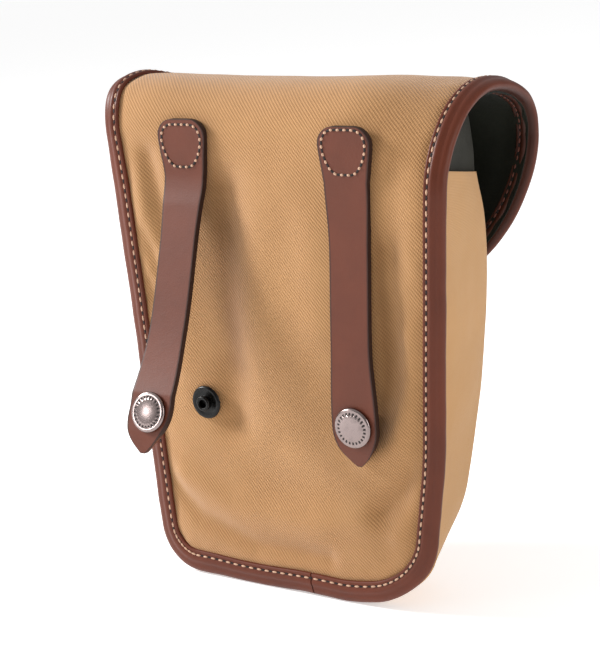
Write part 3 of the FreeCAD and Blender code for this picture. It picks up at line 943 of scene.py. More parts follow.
class POUCH_OT_panel(bpy.types.Operator):
    """Padded twill of the back panel and flap, and their lining"""
    bl_idname = "pouch.panel"
    bl_label = "Back panel and flap"

    def execute(self, context):
        place = shell_place(0.0, outer_relief)
        # the panel's points carry painted shade in its folds and painted shadow beside the straps
        cloth = cloth_grid("panel_and_flap", *SHELL_GRID, place,
                           lambda u, v: fold_shade(*place(u, v)[1].T))
        thicken(cloth, FOAM_DEPTH)
        finish_piece(close_up(cloth), [twill_canvas()])
        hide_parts("back_panel_cloth", "back_panel_foam", "flap_cloth", "flap_foam")
        fold_with_flap(cloth)

        depth = mm("wall") - LINING_DEPTH
        lining = cloth_grid("panel_and_flap_lining", *SHELL_LINING_GRID,
                            shell_place(depth + LINING_GAP, lining_relief))
        thicken(lining, LINING_DEPTH)
        finish_piece(close_up(lining), [dark_lining()])
        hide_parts("back_panel_lining", "flap_lining")
        s = np.linspace(0, SIDE.tip, 400)
        width = 2 * float(SIDE.half(s).max()) * MM
        area = 2 * float(np.trapz(SIDE.half(s), s)) * MM * MM
        fold_with_flap(lining)
        return {"FINISHED"}


# ---------------------------------------------------------------- edge binding

# radius of the roll at the edge
ROLL = 3.1
# one leg's section: distance in from the edge, and out from the cloth
LEG_PROFILE = ((7.9, -0.4), (7.9, 0.5), (7.7, 0.85), (7.2, 0.98), (6.7, 0.82), (6.35, 0.66), (5.9, 0.84),
               (5.3, 1.05), (4.6, 1.05), (3.9, 0.72))
STATIONS = 800
STITCH_INSET = 6.35
STITCH_RISE = 0.72
STITCH_DIMPLE = 0.22
STITCH_LENGTH, STITCH_RADIUS = 2.2, 0.42
# how much painted shade the binding's inner leg gets
INNER_LEG_SHADE = 0.75


def section_index(section, u):
    """Which point of a section each u from -1 to 1 stands for."""
    return np.rint((u + 1) / 2 * (len(section) - 1)).astype(int)


def binding_section():
    """Closed section of the binding, round the edge of the wall."""
    wall = mm("wall")
    turns = np.linspace(math.pi / 2, 3 * math.pi / 2, 15)
    rise = wall / 2 + 0.15
    roll = np.stack([ROLL + ROLL * np.cos(turns), -wall / 2 + rise * np.sin(turns)], axis=1)
    leg = np.array(LEG_PROFILE)
    mirrored = leg[::-1] * (1, -1) - (0, wall)
    inner = np.array([(6.0, 0.3 - wall), (2.4, 0.3 - wall), (1.4, 1.0 - wall), (1.4, -1.0), (2.4, -0.3),
                      (6.0, -0.3), LEG_PROFILE[0]])
    return np.vstack([leg, roll, mirrored, inner])


def binding_spread(line):
    """How much wider than plain the binding shows: most along the base, a little on the left."""
    left = smoothstep(20, 60, -line[:, 0]) * (1 - smoothstep(150, 190, line[:, 1]))
    base = smoothstep(26, 4, line[:, 1]) * (1 - 0.6 * smoothstep(40, 60, line[:, 0]))
    return 1 + 0.14 * left + 0.2 * base


def binding_ripple(line, scale, seed):
    """Slight unevenness along the binding."""
    points = np.column_stack([line, np.zeros(len(line))])
    return cloud(points, scale, seed)


def binding_place(section, stations):
    """Surface function of the binding's U section carried round the edge."""
    line, ahead, inward = stations
    length = path_length(line)
    wander = 0.45 * binding_ripple(line, 24.0, 11) + 0.2 * binding_ripple(line, 9.0, 12)
    swell = 1 + 0.10 * binding_ripple(line, 14.0, 13)
    spread = binding_spread(line)
    pinch = 0.5 + 0.5 * np.cos(math.tau * np.linspace(0, round(length / mm("stitch_pitch")), len(line)))
    girth = np.concatenate([[0], np.cumsum(np.linalg.norm(np.diff(section, axis=0), axis=1))])

    def place(u, v):
        index = section_index(section, u)
        station = np.rint(v * (len(line) - 1)).astype(int)
        inset, out = section[index].T
        near_stitch = np.exp(-((inset - STITCH_INSET) / 0.7) ** 2)
        middle = -mm("wall") / 2
        out = middle + (out - middle) * (1 + (swell[station] - 1) * smoothstep(6.5, 3.5, inset) * 0.4)
        out = out - np.sign(out - middle) * STITCH_DIMPLE * near_stitch * pinch[station]
        inset = inset * spread[station] + wander[station] * (0.5 * smoothstep(9, 2, inset) + 0.4)
        flat = line[station] + inward[station] * inset[:, None]
        chart = np.stack([girth[index], station / (len(line) - 1) * length], axis=1)
        return shell_point(flat[:, 0], flat[:, 1], out), chart
    return place


def binding_stitches(name, out, facing):
    """One row of stitches round the edge, on the outside (1) or the inside (-1)."""
    length = path_length(shell_outline())
    count = round(length / mm("stitch_pitch"))
    line, ahead, inward = edge_stations(count * 2 + 1)
    chosen = slice(1, None, 2)
    flat = line[chosen] + inward[chosen] * (STITCH_INSET * binding_spread(line[chosen]))[:, None]
    points = shell_point(flat[:, 0], flat[:, 1], out)
    lead = flat + ahead[chosen] * 0.5
    tangents = shell_point(lead[:, 0], lead[:, 1], out) - points
    normals = shell_normal(flat[:, 0], flat[:, 1]) * facing
    # the inside row's thread is painted dark as painted shade
    thread = waxed_thread() if facing > 0 else dark_thread()
    return sew(name, points, tangents, normals, STITCH_LENGTH, STITCH_RADIUS, thread)


class POUCH_OT_binding(bpy.types.Operator):
    """Leather folded over the edge of panel and flap, with its stitching"""
    bl_idname = "pouch.binding"
    bl_label = "Edge binding"

    def execute(self, context):
        section = binding_section()
        place = binding_place(section, edge_stations(STATIONS))
        # the binding's inner leg gets painted shade
        inner_leg = smoothstep(-0.5 * mm("wall"), -mm("wall"), section[:, 1])
        binding = cloth_grid("edge_binding", len(section) - 1, STATIONS - 1, place,
                             lambda u, v: INNER_LEG_SHADE * inner_leg[section_index(section, u)])
        close_up(binding, cap_ends=True)
        finish_piece(binding, [binding_hide()], smooth=math.radians(60))
        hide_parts("back_binding_left", "back_binding_right", "flap_binding")
        fold_with_flap(binding)
        fold_with_flap(binding_stitches("binding_stitches_outside", STITCH_RISE, 1))
        fold_with_flap(binding_stitches("binding_stitches_inside", -mm("wall") - STITCH_RISE, -1))
        return {"FINISHED"}


# ---------------------------------------------------------------- pouch body

# how far the body's front edge stands behind the front's middle at a few heights
FRONT_LEVELS = (0, 20, 38, 60, 83, 114, 126, 150, 163)
FRONT_SETBACK = (25.0, 23.0, 18.5, 10.5, 3.8, -1.0, -1.5, 1.0, 9.0)
# the gusset's mouth stands this much higher at the back than at the front, and is lowered all along
MOUTH_SLOPE = 8.0
MOUTH_DROP = 1.5
GUSSET_CORNER_LIFT = 5.6
FRONT_ROLL = 6.0
SEAM_INSET = FRONT_ROLL * (1 - math.cos(math.pi / 4))
# half width at the base, taper and corner radius of the body's two outlines
BACK_OUTLINE = (60.7, 0.06, 24.0)
FRONT_OUTLINE = (56.6, 0.037, 44.0)
# how far from the middle the body's sides are taken to stand
SIDE_X = 56.0
GUSSET_POINTS = 801
GUSSET_GRID, GUSSET_LINING_GRID = (260, 44), (200, 24)
FRONT_GRID, FRONT_LINING_GRID = (90, 110), (50, 60)
RIM_ROUND = 1.0


def mouth_outline(outline, count, inset=0.0):
    """The U of a pouch outline, from the left of the mouth down and round to the right."""
    half, taper, corner = outline
    z = inset + (MOUTH - inset) * dense_ends(np.linspace(0, 1, 500))
    x = u_half(z, inset, corner - inset, half - inset / math.cos(math.atan(taper)), taper)
    line = np.vstack([np.stack([-x, z], 1)[::-1], np.stack([x, z], 1)])
    return resample(line, count)


def setback(x, z):
    """How far the pouch's soft front leans back from its fullest line, less at its middle."""
    levels = np.linspace(0, MOUTH, 200)
    amounts = np.interp(levels, FRONT_LEVELS, FRONT_SETBACK)
    amounts = np.convolve(np.pad(amounts, 12, mode="edge"), np.ones(25) / 25, mode="valid")
    middle = 1 - 0.35 * (1 - np.clip(x / SIDE_X, -1, 1) ** 2)
    return np.interp(z, levels, amounts) * middle


def gusset_place(depth, relief):
    """Surface function of the wall between the pouch's back and front outlines."""
    back = mouth_outline(BACK_OUTLINE, GUSSET_POINTS)
    front = mouth_outline(FRONT_OUTLINE, GUSSET_POINTS)
    normal = np.gradient(back + front, axis=0)
    normal = np.stack([normal[:, 1], -normal[:, 0]], axis=1)
    normal /= np.linalg.norm(normal, axis=1, keepdims=True)
    flat_run = FRONT_FACE - FRONT_ROLL - GUSSET_BACK
    run = flat_run + FRONT_ROLL * math.pi / 4
    length = path_length(back)
    stations = np.arange(GUSSET_POINTS)

    def place(u, v):
        along = np.clip((u + 1) / 2, 0, 1) * stations[-1]
        travel = v * run
        turn = np.clip(travel - flat_run, 0, None) / FRONT_ROLL
        y = GUSSET_BACK + np.minimum(travel, flat_run) + FRONT_ROLL * np.sin(turn)
        share = (y - GUSSET_BACK) / (FRONT_FACE - GUSSET_BACK)
        back_x, back_z, front_x, front_z, normal_x, normal_z = (
            np.interp(along, stations, values) for values in (*back.T, *front.T, *normal.T))
        y = y - setback(np.full_like(front_z, SIDE_X), front_z) * share
        x = back_x + (front_x - back_x) * share
        z = back_z + (front_z - back_z) * share
        z = z + (MOUTH_SLOPE * (1 - share) - MOUTH_DROP) * smoothstep(MOUTH - 45, MOUTH, z)
        z = z + GUSSET_CORNER_LIFT * smoothstep(12, SIDE_X, np.abs(x)) * smoothstep(60, 0, z)
        chart = np.stack([along / stations[-1] * length, travel], axis=1)
        out = relief(chart[:, 0] / length, travel / run, chart) - depth
        out = out - FRONT_ROLL * (1 - np.cos(turn)) - 1.0 * np.exp(-(run - travel) / 0.9) * (depth < 1)
        reach = out * np.cos(turn)
        z = np.maximum(z + normal_z * reach, depth * 0.5)
        return np.stack([x + normal_x * reach, y, z], axis=1), chart
    return place


def gusset_relief(t, share, chart):
    """Fullness and slack of the gusset: t runs round the U, share from back to front."""
    points = np.column_stack([chart, np.zeros(len(chart))])
    sides = smoothstep(0.5, 0.62, np.abs(t - 0.5) * 2)
    belly = 1.3 * np.sin(math.pi * np.clip(share, 0, 1)) * sides
    rim = -0.6 * smoothstep(0.9, 1.0, np.abs(t - 0.5) * 2) * np.sin(math.pi * np.clip(share, 0, 1))
    slack = (0.7 * cloud(points * (0.7, 1.3, 1), 34.0, 21) + 0.25 * cloud(points, 13.0, 22)) * sides
    base = 0.15 * cloud(points, 20.0, 23) * (1 - sides)
    return (belly + rim + slack + base - 0.2) * smoothstep(0, 0.06, share) * smoothstep(1.0, 0.9, share)


def front_place(depth, relief, inset):
    """Surface function of the pouch's front, crowned and rolled back at its edge."""
    half, taper, corner = FRONT_OUTLINE
    outline = mouth_outline(FRONT_OUTLINE, 700)

    def place(u, v):
        z = inset + (MOUTH - inset) * (0.5 * (1 - np.cos(math.pi / 2 * v)) + 0.5 * v)
        half_here = u_half(z, inset, corner - inset, half - inset / math.cos(math.atan(taper)), taper)
        x = np.sin(u * math.pi / 2) * half_here * 0.6 + u * half_here * 0.4
        chart = np.stack([x, z], axis=1)
        edge = distance_to(outline, chart)
        drop = FRONT_ROLL - np.sqrt(np.maximum(FRONT_ROLL ** 2 - np.maximum(FRONT_ROLL - edge, 0) ** 2, 0))
        out = relief(x, z, edge) - drop - depth - setback(np.where(edge < FRONT_ROLL, SIDE_X, x), z)
        return np.stack([x, FRONT_FACE + out, z], axis=1), chart
    return place


def front_relief(x, z, edge):
    """Fullness of the front with the seam drawn in round it."""
    points = np.stack([x, z, np.zeros_like(x)], axis=1)
    inner = smoothstep(SEAM_INSET, SEAM_INSET + 10, edge)
    seam = -1.0 * np.exp(-np.maximum(edge - SEAM_INSET, 0) / 0.9)
    slack = 0.45 * cloud(points, 36.0, 31) + 0.2 * cloud(points, 14.0, 32)
    pucker = 0.25 * cloud(points, 6.0, 33) * np.exp(-edge / 8)
    rise = 0.7 * np.sin(math.pi * np.clip(z / MOUTH, 0, 1))
    return seam + (slack + rise) * inner + pucker - 0.2


def plain_relief(*places):
    """Relief of a smooth lining, the same at all places."""
    return 0.0


class POUCH_OT_body(bpy.types.Operator):
    """Gusset, front and linings of the pouch"""
    bl_idname = "pouch.body"
    bl_label = "Pouch body"

    def execute(self, context):
        gusset = cloth_grid("gusset", *GUSSET_GRID, gusset_place(0.0, gusset_relief), flip=True)
        thicken(gusset, FOAM_DEPTH)
        close_up(gusset)
        round_rims(gusset, RIM_ROUND)
        finish_piece(gusset, [gusset_canvas()])
        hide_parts("gusset_cloth", "gusset_foam")
        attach(gusset, "pack")

        front = cloth_grid("front_panel", *FRONT_GRID,
                           front_place(0.0, front_relief, SEAM_INSET), flip=True)
        thicken(front, FOAM_DEPTH)
        close_up(front)
        round_rims(front, RIM_ROUND)
        finish_piece(front, [gusset_canvas()])
        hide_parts("front_panel_cloth", "front_panel_foam")
        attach(front, "pack")

        depth = mm("wall") - LINING_DEPTH
        gusset_lining = cloth_grid("gusset_lining_sheet", *GUSSET_LINING_GRID,
                                   gusset_place(depth, plain_relief), flip=True)
        thicken(gusset_lining, LINING_DEPTH)
        front_lining = cloth_grid("front_lining_sheet", *FRONT_LINING_GRID,
                                  front_place(depth, plain_relief, mm("wall") + 0.2), flip=True)
        thicken(front_lining, LINING_DEPTH)
        around = path_length(mouth_outline(BACK_OUTLINE, GUSSET_POINTS))
        deep = FRONT_FACE - GUSSET_BACK - float(np.mean(FRONT_SETBACK))
        wide = 2 * float(u_half(MOUTH, 0, FRONT_OUTLINE[2], *FRONT_OUTLINE[:2]))
        for lining, node, beneath, flat in (
            (gusset_lining, "gusset_lining", gusset, (around, deep)),
            (front_lining, "front_panel_lining", front, (wide, MOUTH)),
        ):
            finish_piece(close_up(lining), [dark_lining()])
            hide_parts(node)
            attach(lining, "pack")
        return {"FINISHED"}


# ---------------------------------------------------------------- storm ears

EAR_TUCK = 5.0
EAR_CORNER = 9.0
EAR_CLOTH = 1.1
EAR_BOW = 1.6
EAR_LEAN = 1.2
EAR_GRID = (36, 28)


def ear_place(side):
    """Surface function of a round-topped ear standing on the gusset's upper edge."""
    low, high = node_low("storm_ear_right"), node_high("storm_ear_right")
    half = (high.y - low.y) / 2
    middle = (high.y + low.y) / 2
    height = high.z - low.z

    def place(u, v):
        rise = -EAR_TUCK + (height + EAR_TUCK) * dense_ends(v)
        over = np.maximum(rise - (height - EAR_CORNER), 0)
        half_here = half - EAR_CORNER + np.sqrt(np.maximum(EAR_CORNER ** 2 - over ** 2, 0))
        across = u * half_here
        y = middle + across
        plane = high.x - (high.x - low.x - 1.2) * (y - low.y) / (high.y - low.y) - 0.6
        points = np.stack([across, rise, np.zeros_like(rise)], axis=1)
        bow = EAR_BOW * np.cos(math.pi / 2 * across / half) * smoothstep(0, height, rise)
        lean = -EAR_LEAN * smoothstep(4, height, rise) + 0.5 * cloud(points, 11.0, 40 + side)
        settle = smoothstep(-EAR_TUCK, 4, rise)
        return np.stack([side * (plane + (bow + lean) * settle), y, low.z + rise], axis=1), points[:, :2]
    return place, 2 * half, height + EAR_TUCK


class POUCH_OT_ears(bpy.types.Operator):
    """Round-topped cloth ears at the two ends of the mouth"""
    bl_idname = "pouch.ears"
    bl_label = "Storm ears"

    def execute(self, context):
        for name, side in (("left", -1), ("right", 1)):
            place, width, height = ear_place(side)
            ear = cloth_grid(f"storm_ear_cloth_{name}", *EAR_GRID, place, flip=side < 0)
            thicken(ear, EAR_CLOTH)
            close_up(ear)
            round_rims(ear, 0.4)
            finish_piece(ear, [ear_cloth()])
            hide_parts(f"storm_ear_{name}")
            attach(ear, "pack")
        return {"FINISHED"}


# ---------------------------------------------------------------- straps

STRAP_TOP = node_high("belt_strap_right_anchor").z
STRAP_FOOT = node_low("belt_strap_right_anchor").z
STRAP_TIP = node_low("belt_strap_right").z
STRAP_FACE = node_low("belt_strap_right_anchor").y
STRAP_OUT = node_low("belt_strap_right").y
ANCHOR_ROUND = 7.0
# how far each patch's top sits below the CAD's
PATCH_DROPS = (("left", 1.0), ("right", 2.6))
PATCH_MARGIN = 10.6
PATCH_STITCH_LENGTH, PATCH_STITCH_RADIUS = 1.35, 0.52
STRAP_GRID = (18, 200)
STRAP_ROUND, STRAP_ROUND_STEPS = 0.55, 3
TIP_HALF = 1.0
TIP_CURL = 2.4
BELOW_PATCH_EXTRA = 1.0
LEFT_BOW = 4.0
LEFT_TIP_ASIDE = 3.0


def strap_half(z, top, foot, snap, tip):
    """Half width of a strap at a height: round-cornered patch, parallel run, wide snap, blunt point."""
    patch = mm("anchor_half_width")
    narrow, wide = mm("strap_half_width"), mm("strap_end_half")
    over = np.maximum(z - (top - ANCHOR_ROUND), 0)
    neck = narrow + BELOW_PATCH_EXTRA
    head = neck + (patch - narrow - BELOW_PATCH_EXTRA) * smoothstep(foot - 3, top - 4, z)
    head = head - ANCHOR_ROUND + np.sqrt(np.maximum(ANCHOR_ROUND ** 2 - over ** 2, 0))
    body = narrow + (wide - narrow) * smoothstep(snap + 32, snap + 2, z)
    body = body + BELOW_PATCH_EXTRA * smoothstep(foot - 26, foot, z)
    rise = np.clip((z - tip) / (snap - tip), 0, 1)
    point = TIP_HALF + (wide - TIP_HALF) * (1 - (1 - rise) ** 2.2)
    return np.where(z > foot, head, np.where(z > snap, body, point))


def flat_strap(name, centre, levels, face, swing=None):
    """A leather strap hanging in a curve: face(z) is where its outer side is."""
    top, tip = levels[0], levels[-1]
    toward = 1 if face(np.array([levels[2]]))[0] < 0 else -1

    def place(u, v):
        z = tip + (top - tip) * (0.4 * dense_ends(v) + 0.6 * v)
        x = toward * u * strap_half(z, *levels)
        return np.stack([centre + x, face(z), z], axis=1), np.stack([x, z], axis=1)

    strap = cloth_grid(name, *STRAP_GRID, place)
    thicken(strap, mm("strap_leather"))
    close_up(strap)
    round_rims(strap, STRAP_ROUND, STRAP_ROUND_STEPS)
    points = coordinates(strap.data) / MM
    near_side = strap_half(points[:, 2], *levels) - np.abs(points[:, 0] - centre)
    near_end = np.minimum(points[:, 2] - tip, top - points[:, 2])
    paint_burnish_and_shade(strap, 1 - smoothstep(0.05, 0.5, np.minimum(near_side, near_end)))
    if swing:
        strap.data.vertices.foreach_set("co", (swing(points) * MM).ravel())
        strap.data.update()
    return strap


def belt_face(z):
    """Outer side of a belt strap that hangs down snapped: sewn flat, standing off, tip curling back."""
    stand = (STRAP_FACE - STRAP_OUT) * smoothstep(STRAP_FOOT - 8, 92, z)
    curl = TIP_CURL * smoothstep(SNAP_HEIGHT - 7, STRAP_TIP - 2, z)
    return STRAP_FACE - stand + curl


def lifted(points):
    """Points of the left strap swung off the panel, bowing in a little, below its patch."""
    pivot = joint_pivot("belt_strap_left_lift")
    below = np.clip((STRAP_FOOT - points[:, 2]) / (STRAP_FOOT - SNAP_HEIGHT - 7), 0, 1)
    bow = LEFT_BOW * np.sin(math.pi * below ** 1.9)
    turn = sizes().left_lift * smoothstep(STRAP_FOOT + 8, STRAP_FOOT - 12, points[:, 2])
    dy = points[:, 1] - pivot.y + bow
    dz = points[:, 2] - pivot.z
    y = pivot.y + dy * np.cos(turn) + dz * np.sin(turn)
    z = pivot.z - dy * np.sin(turn) + dz * np.cos(turn)
    aside = LEFT_TIP_ASIDE * smoothstep(SNAP_HEIGHT + 4, STRAP_TIP, points[:, 2])
    return np.stack([points[:, 0] - aside, y, z], axis=1)


def shield_path(middle_z):
    """Stitching line of a patch: nearly flat top, round shoulders, sides drawn in to a round foot."""
    right = [(1.6, 8.1), (6.6, 8.0), (9.3, 4.6), (9.0, -0.6), (6.8, -5.4), (4.2, -8.0), (1.2, -8.1)]
    loop = np.array(right + [(-x, z) for x, z in right[::-1]])
    for _ in range(4):
        after = np.roll(loop, -1, axis=0)
        loop = np.stack([loop * 0.75 + after * 0.25, loop * 0.25 + after * 0.75], axis=1).reshape(-1, 2)
    return np.vstack([loop, loop[:1]]) + (0, middle_z)


def patch_stitches(name, centre, z_middle, face, outward, count=20):
    """Stitches round a strap's sewn patch."""
    line = resample(shield_path(z_middle), count * 2 + 1)
    flat, ahead = line[0:-1:2], line[1::2] - line[0:-1:2]
    y = face(flat[:, 1])
    points = np.stack([centre + flat[:, 0], y, flat[:, 1]], axis=1)
    slope = face(flat[:, 1] + ahead[:, 1]) - y
    tangents = np.stack([ahead[:, 0], slope, ahead[:, 1]], axis=1)
    normals = np.tile((0.0, outward, 0.0), (len(points), 1))
    return sew(name, points, tangents, normals, PATCH_STITCH_LENGTH, PATCH_STITCH_RADIUS)


class POUCH_OT_belt_straps(bpy.types.Operator):
    """Two leather straps that snap round a belt, with their sewn patches"""
    bl_idname = "pouch.belt_straps"
    bl_label = "Belt straps"

    def execute(self, context):
        for name, drop in PATCH_DROPS:
            levels = (STRAP_TOP - drop, STRAP_FOOT, SNAP_HEIGHT, STRAP_TIP)
            low, high = node_low(f"belt_strap_{name}_anchor"), node_high(f"belt_strap_{name}_anchor")
            centre = (low.x + high.x) / 2
            swing = lifted if name == "left" else None
            strap = flat_strap(f"belt_strap_leather_{name}", centre, levels, belt_face, swing)
            finish_piece(strap, [strap_hide()])
            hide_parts(f"belt_strap_{name}", f"belt_strap_{name}_anchor")
            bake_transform(strap)
            middle = STRAP_TOP - PATCH_MARGIN - drop / 2
            stitches = patch_stitches(f"belt_patch_stitches_{name}", centre, middle,
                                      lambda z: np.full_like(z, STRAP_FACE), -1)
            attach(stitches, "pack")
        return {"FINISHED"}


CLOSURE_TOP = node_high("closure_strap_anchor").z
CLOSURE_FOOT = node_low("closure_strap_anchor").z
CLOSURE_TIP = node_low("closure_strap").z
CLOSURE_OUT = node_high("closure_strap").y
CLOSURE_CURL = 1.2
CLOSURE_CLEARANCE = 0.9


def closure_face(z):
    """Outer side of the closure strap: along the flap, over its binding and straight down."""
    s = SIDE.height_at_front(np.maximum(z, FLAP_LOW + 1))
    heading = SIDE.at(s, SIDE.heading)
    along_flap = SIDE.at(s, SIDE.y) - np.sin(heading) * (mm("strap_leather") + CLOSURE_CLEARANCE)
    hang = smoothstep(CLOSURE_FOOT + 5, CLOSURE_FOOT - 3, z)
    curl = CLOSURE_CURL * smoothstep(CLOSURE_SNAP - 7, CLOSURE_TIP - 2, z)
    return along_flap * (1 - hang) + CLOSURE_OUT * hang - curl


class POUCH_OT_closure(bpy.types.Operator):
    """Strap that holds the flap down, and the stitches round its sewn patch"""
    bl_idname = "pouch.closure"
    bl_label = "Closure strap"

    def execute(self, context):
        levels = (CLOSURE_TOP, CLOSURE_FOOT, CLOSURE_SNAP, CLOSURE_TIP)
        strap = flat_strap("closure_strap_leather", 0.0, levels, closure_face)
        finish_piece(strap, [strap_hide()])
        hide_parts("closure_strap", "closure_strap_anchor")
        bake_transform(strap)
        stitches = patch_stitches("closure_patch_stitches", 0.0, (CLOSURE_TOP + CLOSURE_FOOT) / 2 + 0.6,
                                  closure_face, 1, 19)
        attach(stitches, "flap")
        return {"FINISHED"}


# ---------------------------------------------------------------- press studs

# half sections of the turned pieces: radius and height
CAP_SHAPE = (
    (0, 0), (7.3, 0), (7.72, 0.35), (7.75, 0.95), (7.6, 1.35), (7.2, 1.62), (6.8, 1.68), (6.5, 1.64),
    (6.2, 1.68), (5.2, 1.86), (4.4, 1.98), (3.2, 2.12), (1.6, 2.24), (0, 2.28))
SOCKET_SHAPE = (
    (0, 2.35), (2.0, 2.35), (4.3, 2.3), (4.55, 1.9), (4.25, 1.2), (4.5, 0.5), (4.9, 0.05),
    (5.6, 0.0), (6.1, 0.4), (6.2, 1.2), (6.15, 2.3), (5.6, 2.8), (0, 2.88))
SOCKET_HEIGHT = 2.9
STUD_SHAPE = (
    (0, 0), (6.4, 0), (6.7, 0.4), (6.5, 1.0), (5.9, 1.3), (4.9, 1.0), (3.6, 0.7), (2.85, 0.9),
    (2.7, 1.6), (3.08, 2.4), (3.1, 2.9), (2.8, 3.32), (2.2, 3.4), (1.75, 3.1), (1.6, 1.2), (0, 1.1))
BACK_PLATE_SHAPE = (
    (0, 0), (2.6, 0.02), (4.0, 0.2), (4.45, 0.6), (4.5, 1.0), (2.0, 1.02), (1.9, 1.4), (0, 1.42))
CAP_GAP = 0.02
# the cap's ring of marks: how many, the turned segments each takes with its gap, and the marked segments
MARKS = 24
MARK_SEGMENTS = 4
MARKED = 2
MARK_BAND = (5.2, 6.2)
STUD_PATCH_RADIUS = 11.0
STUD_PATCH_SEAM = 9.0
STUD_PATCH_STITCHES = 22


def turned(name, shape, finishes):
    """A turned piece about Z from its half section, given as radius and height in millimetres."""
    mesh = bpy.data.meshes.new(name)
    mesh.from_pydata([(radius * MM, 0, height * MM) for radius, height in shape],
                     [(index, index + 1) for index in range(len(shape) - 1)], [])
    piece = bpy.data.objects.new(name, mesh)
    bpy.context.collection.objects.link(piece)
    only(piece)
    bpy.ops.object.mode_set(mode="EDIT")
    bpy.ops.mesh.select_all(action="SELECT")
    bpy.ops.mesh.spin(steps=MARKS * MARK_SEGMENTS, angle=math.tau, center=(0, 0, 0), axis=(0, 0, 1))
    bpy.ops.object.mode_set(mode="OBJECT")
    close_up(piece, gap=0.00002)
    finish_piece(piece, finishes, smooth=math.radians(50))
    return piece


def stamp_marks(cap):
    """Sink a generic ring of short even marks into the cap's flat band and darken them."""
    only(cap)
    bpy.ops.object.mode_set(mode="EDIT")
    bpy.ops.mesh.select_mode(type="FACE")
    bpy.ops.mesh.select_all(action="DESELECT")
    bpy.ops.object.mode_set(mode="OBJECT")
    for face in cap.data.polygons:
        radius = math.hypot(face.center.x, face.center.y) / MM
        sector = int(math.atan2(face.center.y, face.center.x) % math.tau / math.tau * MARKS * MARK_SEGMENTS)
        on_band = MARK_BAND[0] < radius < MARK_BAND[1] and face.normal.z > 0.9
        face.select = on_band and sector % MARK_SEGMENTS < MARKED
    bpy.ops.object.mode_set(mode="EDIT")
    cap.active_material_index = 1
    bpy.ops.object.material_slot_assign()
    bpy.ops.mesh.inset(thickness=0.06 * MM, depth=-0.12 * MM)
    bpy.ops.object.mode_set(mode="OBJECT")


def facing_side(x, y, z, towards):
    """Matrix that lays a turned piece's axis along -Y or +Y at a place in millimetres."""
    return Matrix.Translation(Vector((x, y, z)) * MM) @ Matrix.Rotation(math.radians(-90 * towards), 4, "X")


def middle_of(node):
    """Middle of a CAD node's box, in millimetres."""
    return (node_low(node) + node_high(node)) / 2


def mount(piece, matrix, body, node):
    """Put a finished metal piece in its place, on its body, for its CAD node."""
    piece.data.transform(matrix)
    piece.data.update()
    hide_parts(node)
    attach(piece, body)


def swung(matrix, lift):
    """A placement turned about the left strap's pivot, lifting it off the panel."""
    pivot = joint_pivot("belt_strap_left_lift") * MM
    shift = Matrix.Translation(pivot)
    return shift @ Matrix.Rotation(-lift, 4, "X") @ shift.inverted() @ matrix


def build_press_stud(name, body, nodes, places):
    """Cap, socket, stud and back plate of one press stud, each for its CAD node and at its place."""
    kinds = (
        ("press_cap", CAP_SHAPE, (antique_silver(), cap_patina()), body, "antique_silver"),
        ("press_socket", SOCKET_SHAPE, (antique_silver(),), body, "antique_silver"),
        ("press_stud", STUD_SHAPE, (black_enamel(),), "pack", "black_metal"),
        ("back_plate", BACK_PLATE_SHAPE, (black_enamel(),), "pack", "black_metal"),
    )
    for (kind, shape, finishes, carrier, slot), node, place in zip(kinds, nodes, places):
        piece = turned(f"{kind}_{name}", shape, finishes)
        if kind == "press_cap":
            stamp_marks(piece)
        mount(piece, place, carrier, node)


def build_stud_patch():
    """Round leather patch under the closure's stud, and its stitches."""
    thick = node_high("closure_stud_patch").y - node_low("closure_stud_patch").y
    rim = STUD_PATCH_RADIUS
    shape = (
        (0, 0), (rim - 0.4, 0), (rim, 0.4), (rim, thick - 0.6), (rim - 0.4, thick - 0.1),
        (rim - 1.0, thick), (0, thick))
    patch = turned("stud_patch", shape, [strap_hide()])
    mount(patch, facing_side(0, FRONT_FACE, CLOSURE_SNAP, 1), "pack", "closure_stud_patch")
    turns = np.linspace(0, math.tau, STUD_PATCH_STITCHES + 1)[:-1]
    across, up = STUD_PATCH_SEAM * np.cos(turns), STUD_PATCH_SEAM * np.sin(turns)
    circle = np.stack([across, np.full_like(turns, FRONT_FACE + thick), CLOSURE_SNAP + up], axis=1)
    ahead = np.stack([-np.sin(turns), np.zeros_like(turns), np.cos(turns)], axis=1)
    outward = np.tile((0.0, 1.0, 0.0), (len(turns), 1))
    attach(sew("stud_patch_stitches", circle, ahead, outward, 1.5, 0.42), "pack")


class POUCH_OT_press_studs(bpy.types.Operator):
    """Caps, sockets, studs and back plates of the three press studs"""
    bl_idname = "pouch.press_studs"
    bl_label = "Press studs"

    def execute(self, context):
        for name in ("left", "right"):
            lift = sizes().left_lift if name == "left" else 0.0
            nodes = (f"belt_cap_{name}", f"belt_socket_{name}",
                     f"belt_stud_{name}", f"belt_stud_{name}_post")
            stud = middle_of(nodes[2])
            levels = (STRAP_OUT - CAP_GAP, STRAP_OUT + mm("strap_leather") + SOCKET_HEIGHT, BACK_FACE,
                      node_high(nodes[3]).y)
            cap, socket, base, plate = (facing_side(stud.x, level, stud.z, -1) for level in levels)
            build_press_stud(name, f"belt_strap_{name}", nodes,
                             (swung(cap, lift), swung(socket, lift), base, plate))
        nodes = ("closure_cap", "closure_socket", "closure_stud", "closure_stud_post")
        levels = (CLOSURE_OUT + CAP_GAP, *(node_low(node).y for node in nodes[1:]))
        build_press_stud("closure", "closure_strap", nodes,
                         [facing_side(0, level, CLOSURE_SNAP, 1) for level in levels])
        build_stud_patch()
        return {"FINISHED"}


# ---------------------------------------------------------------- floor, lights and camera

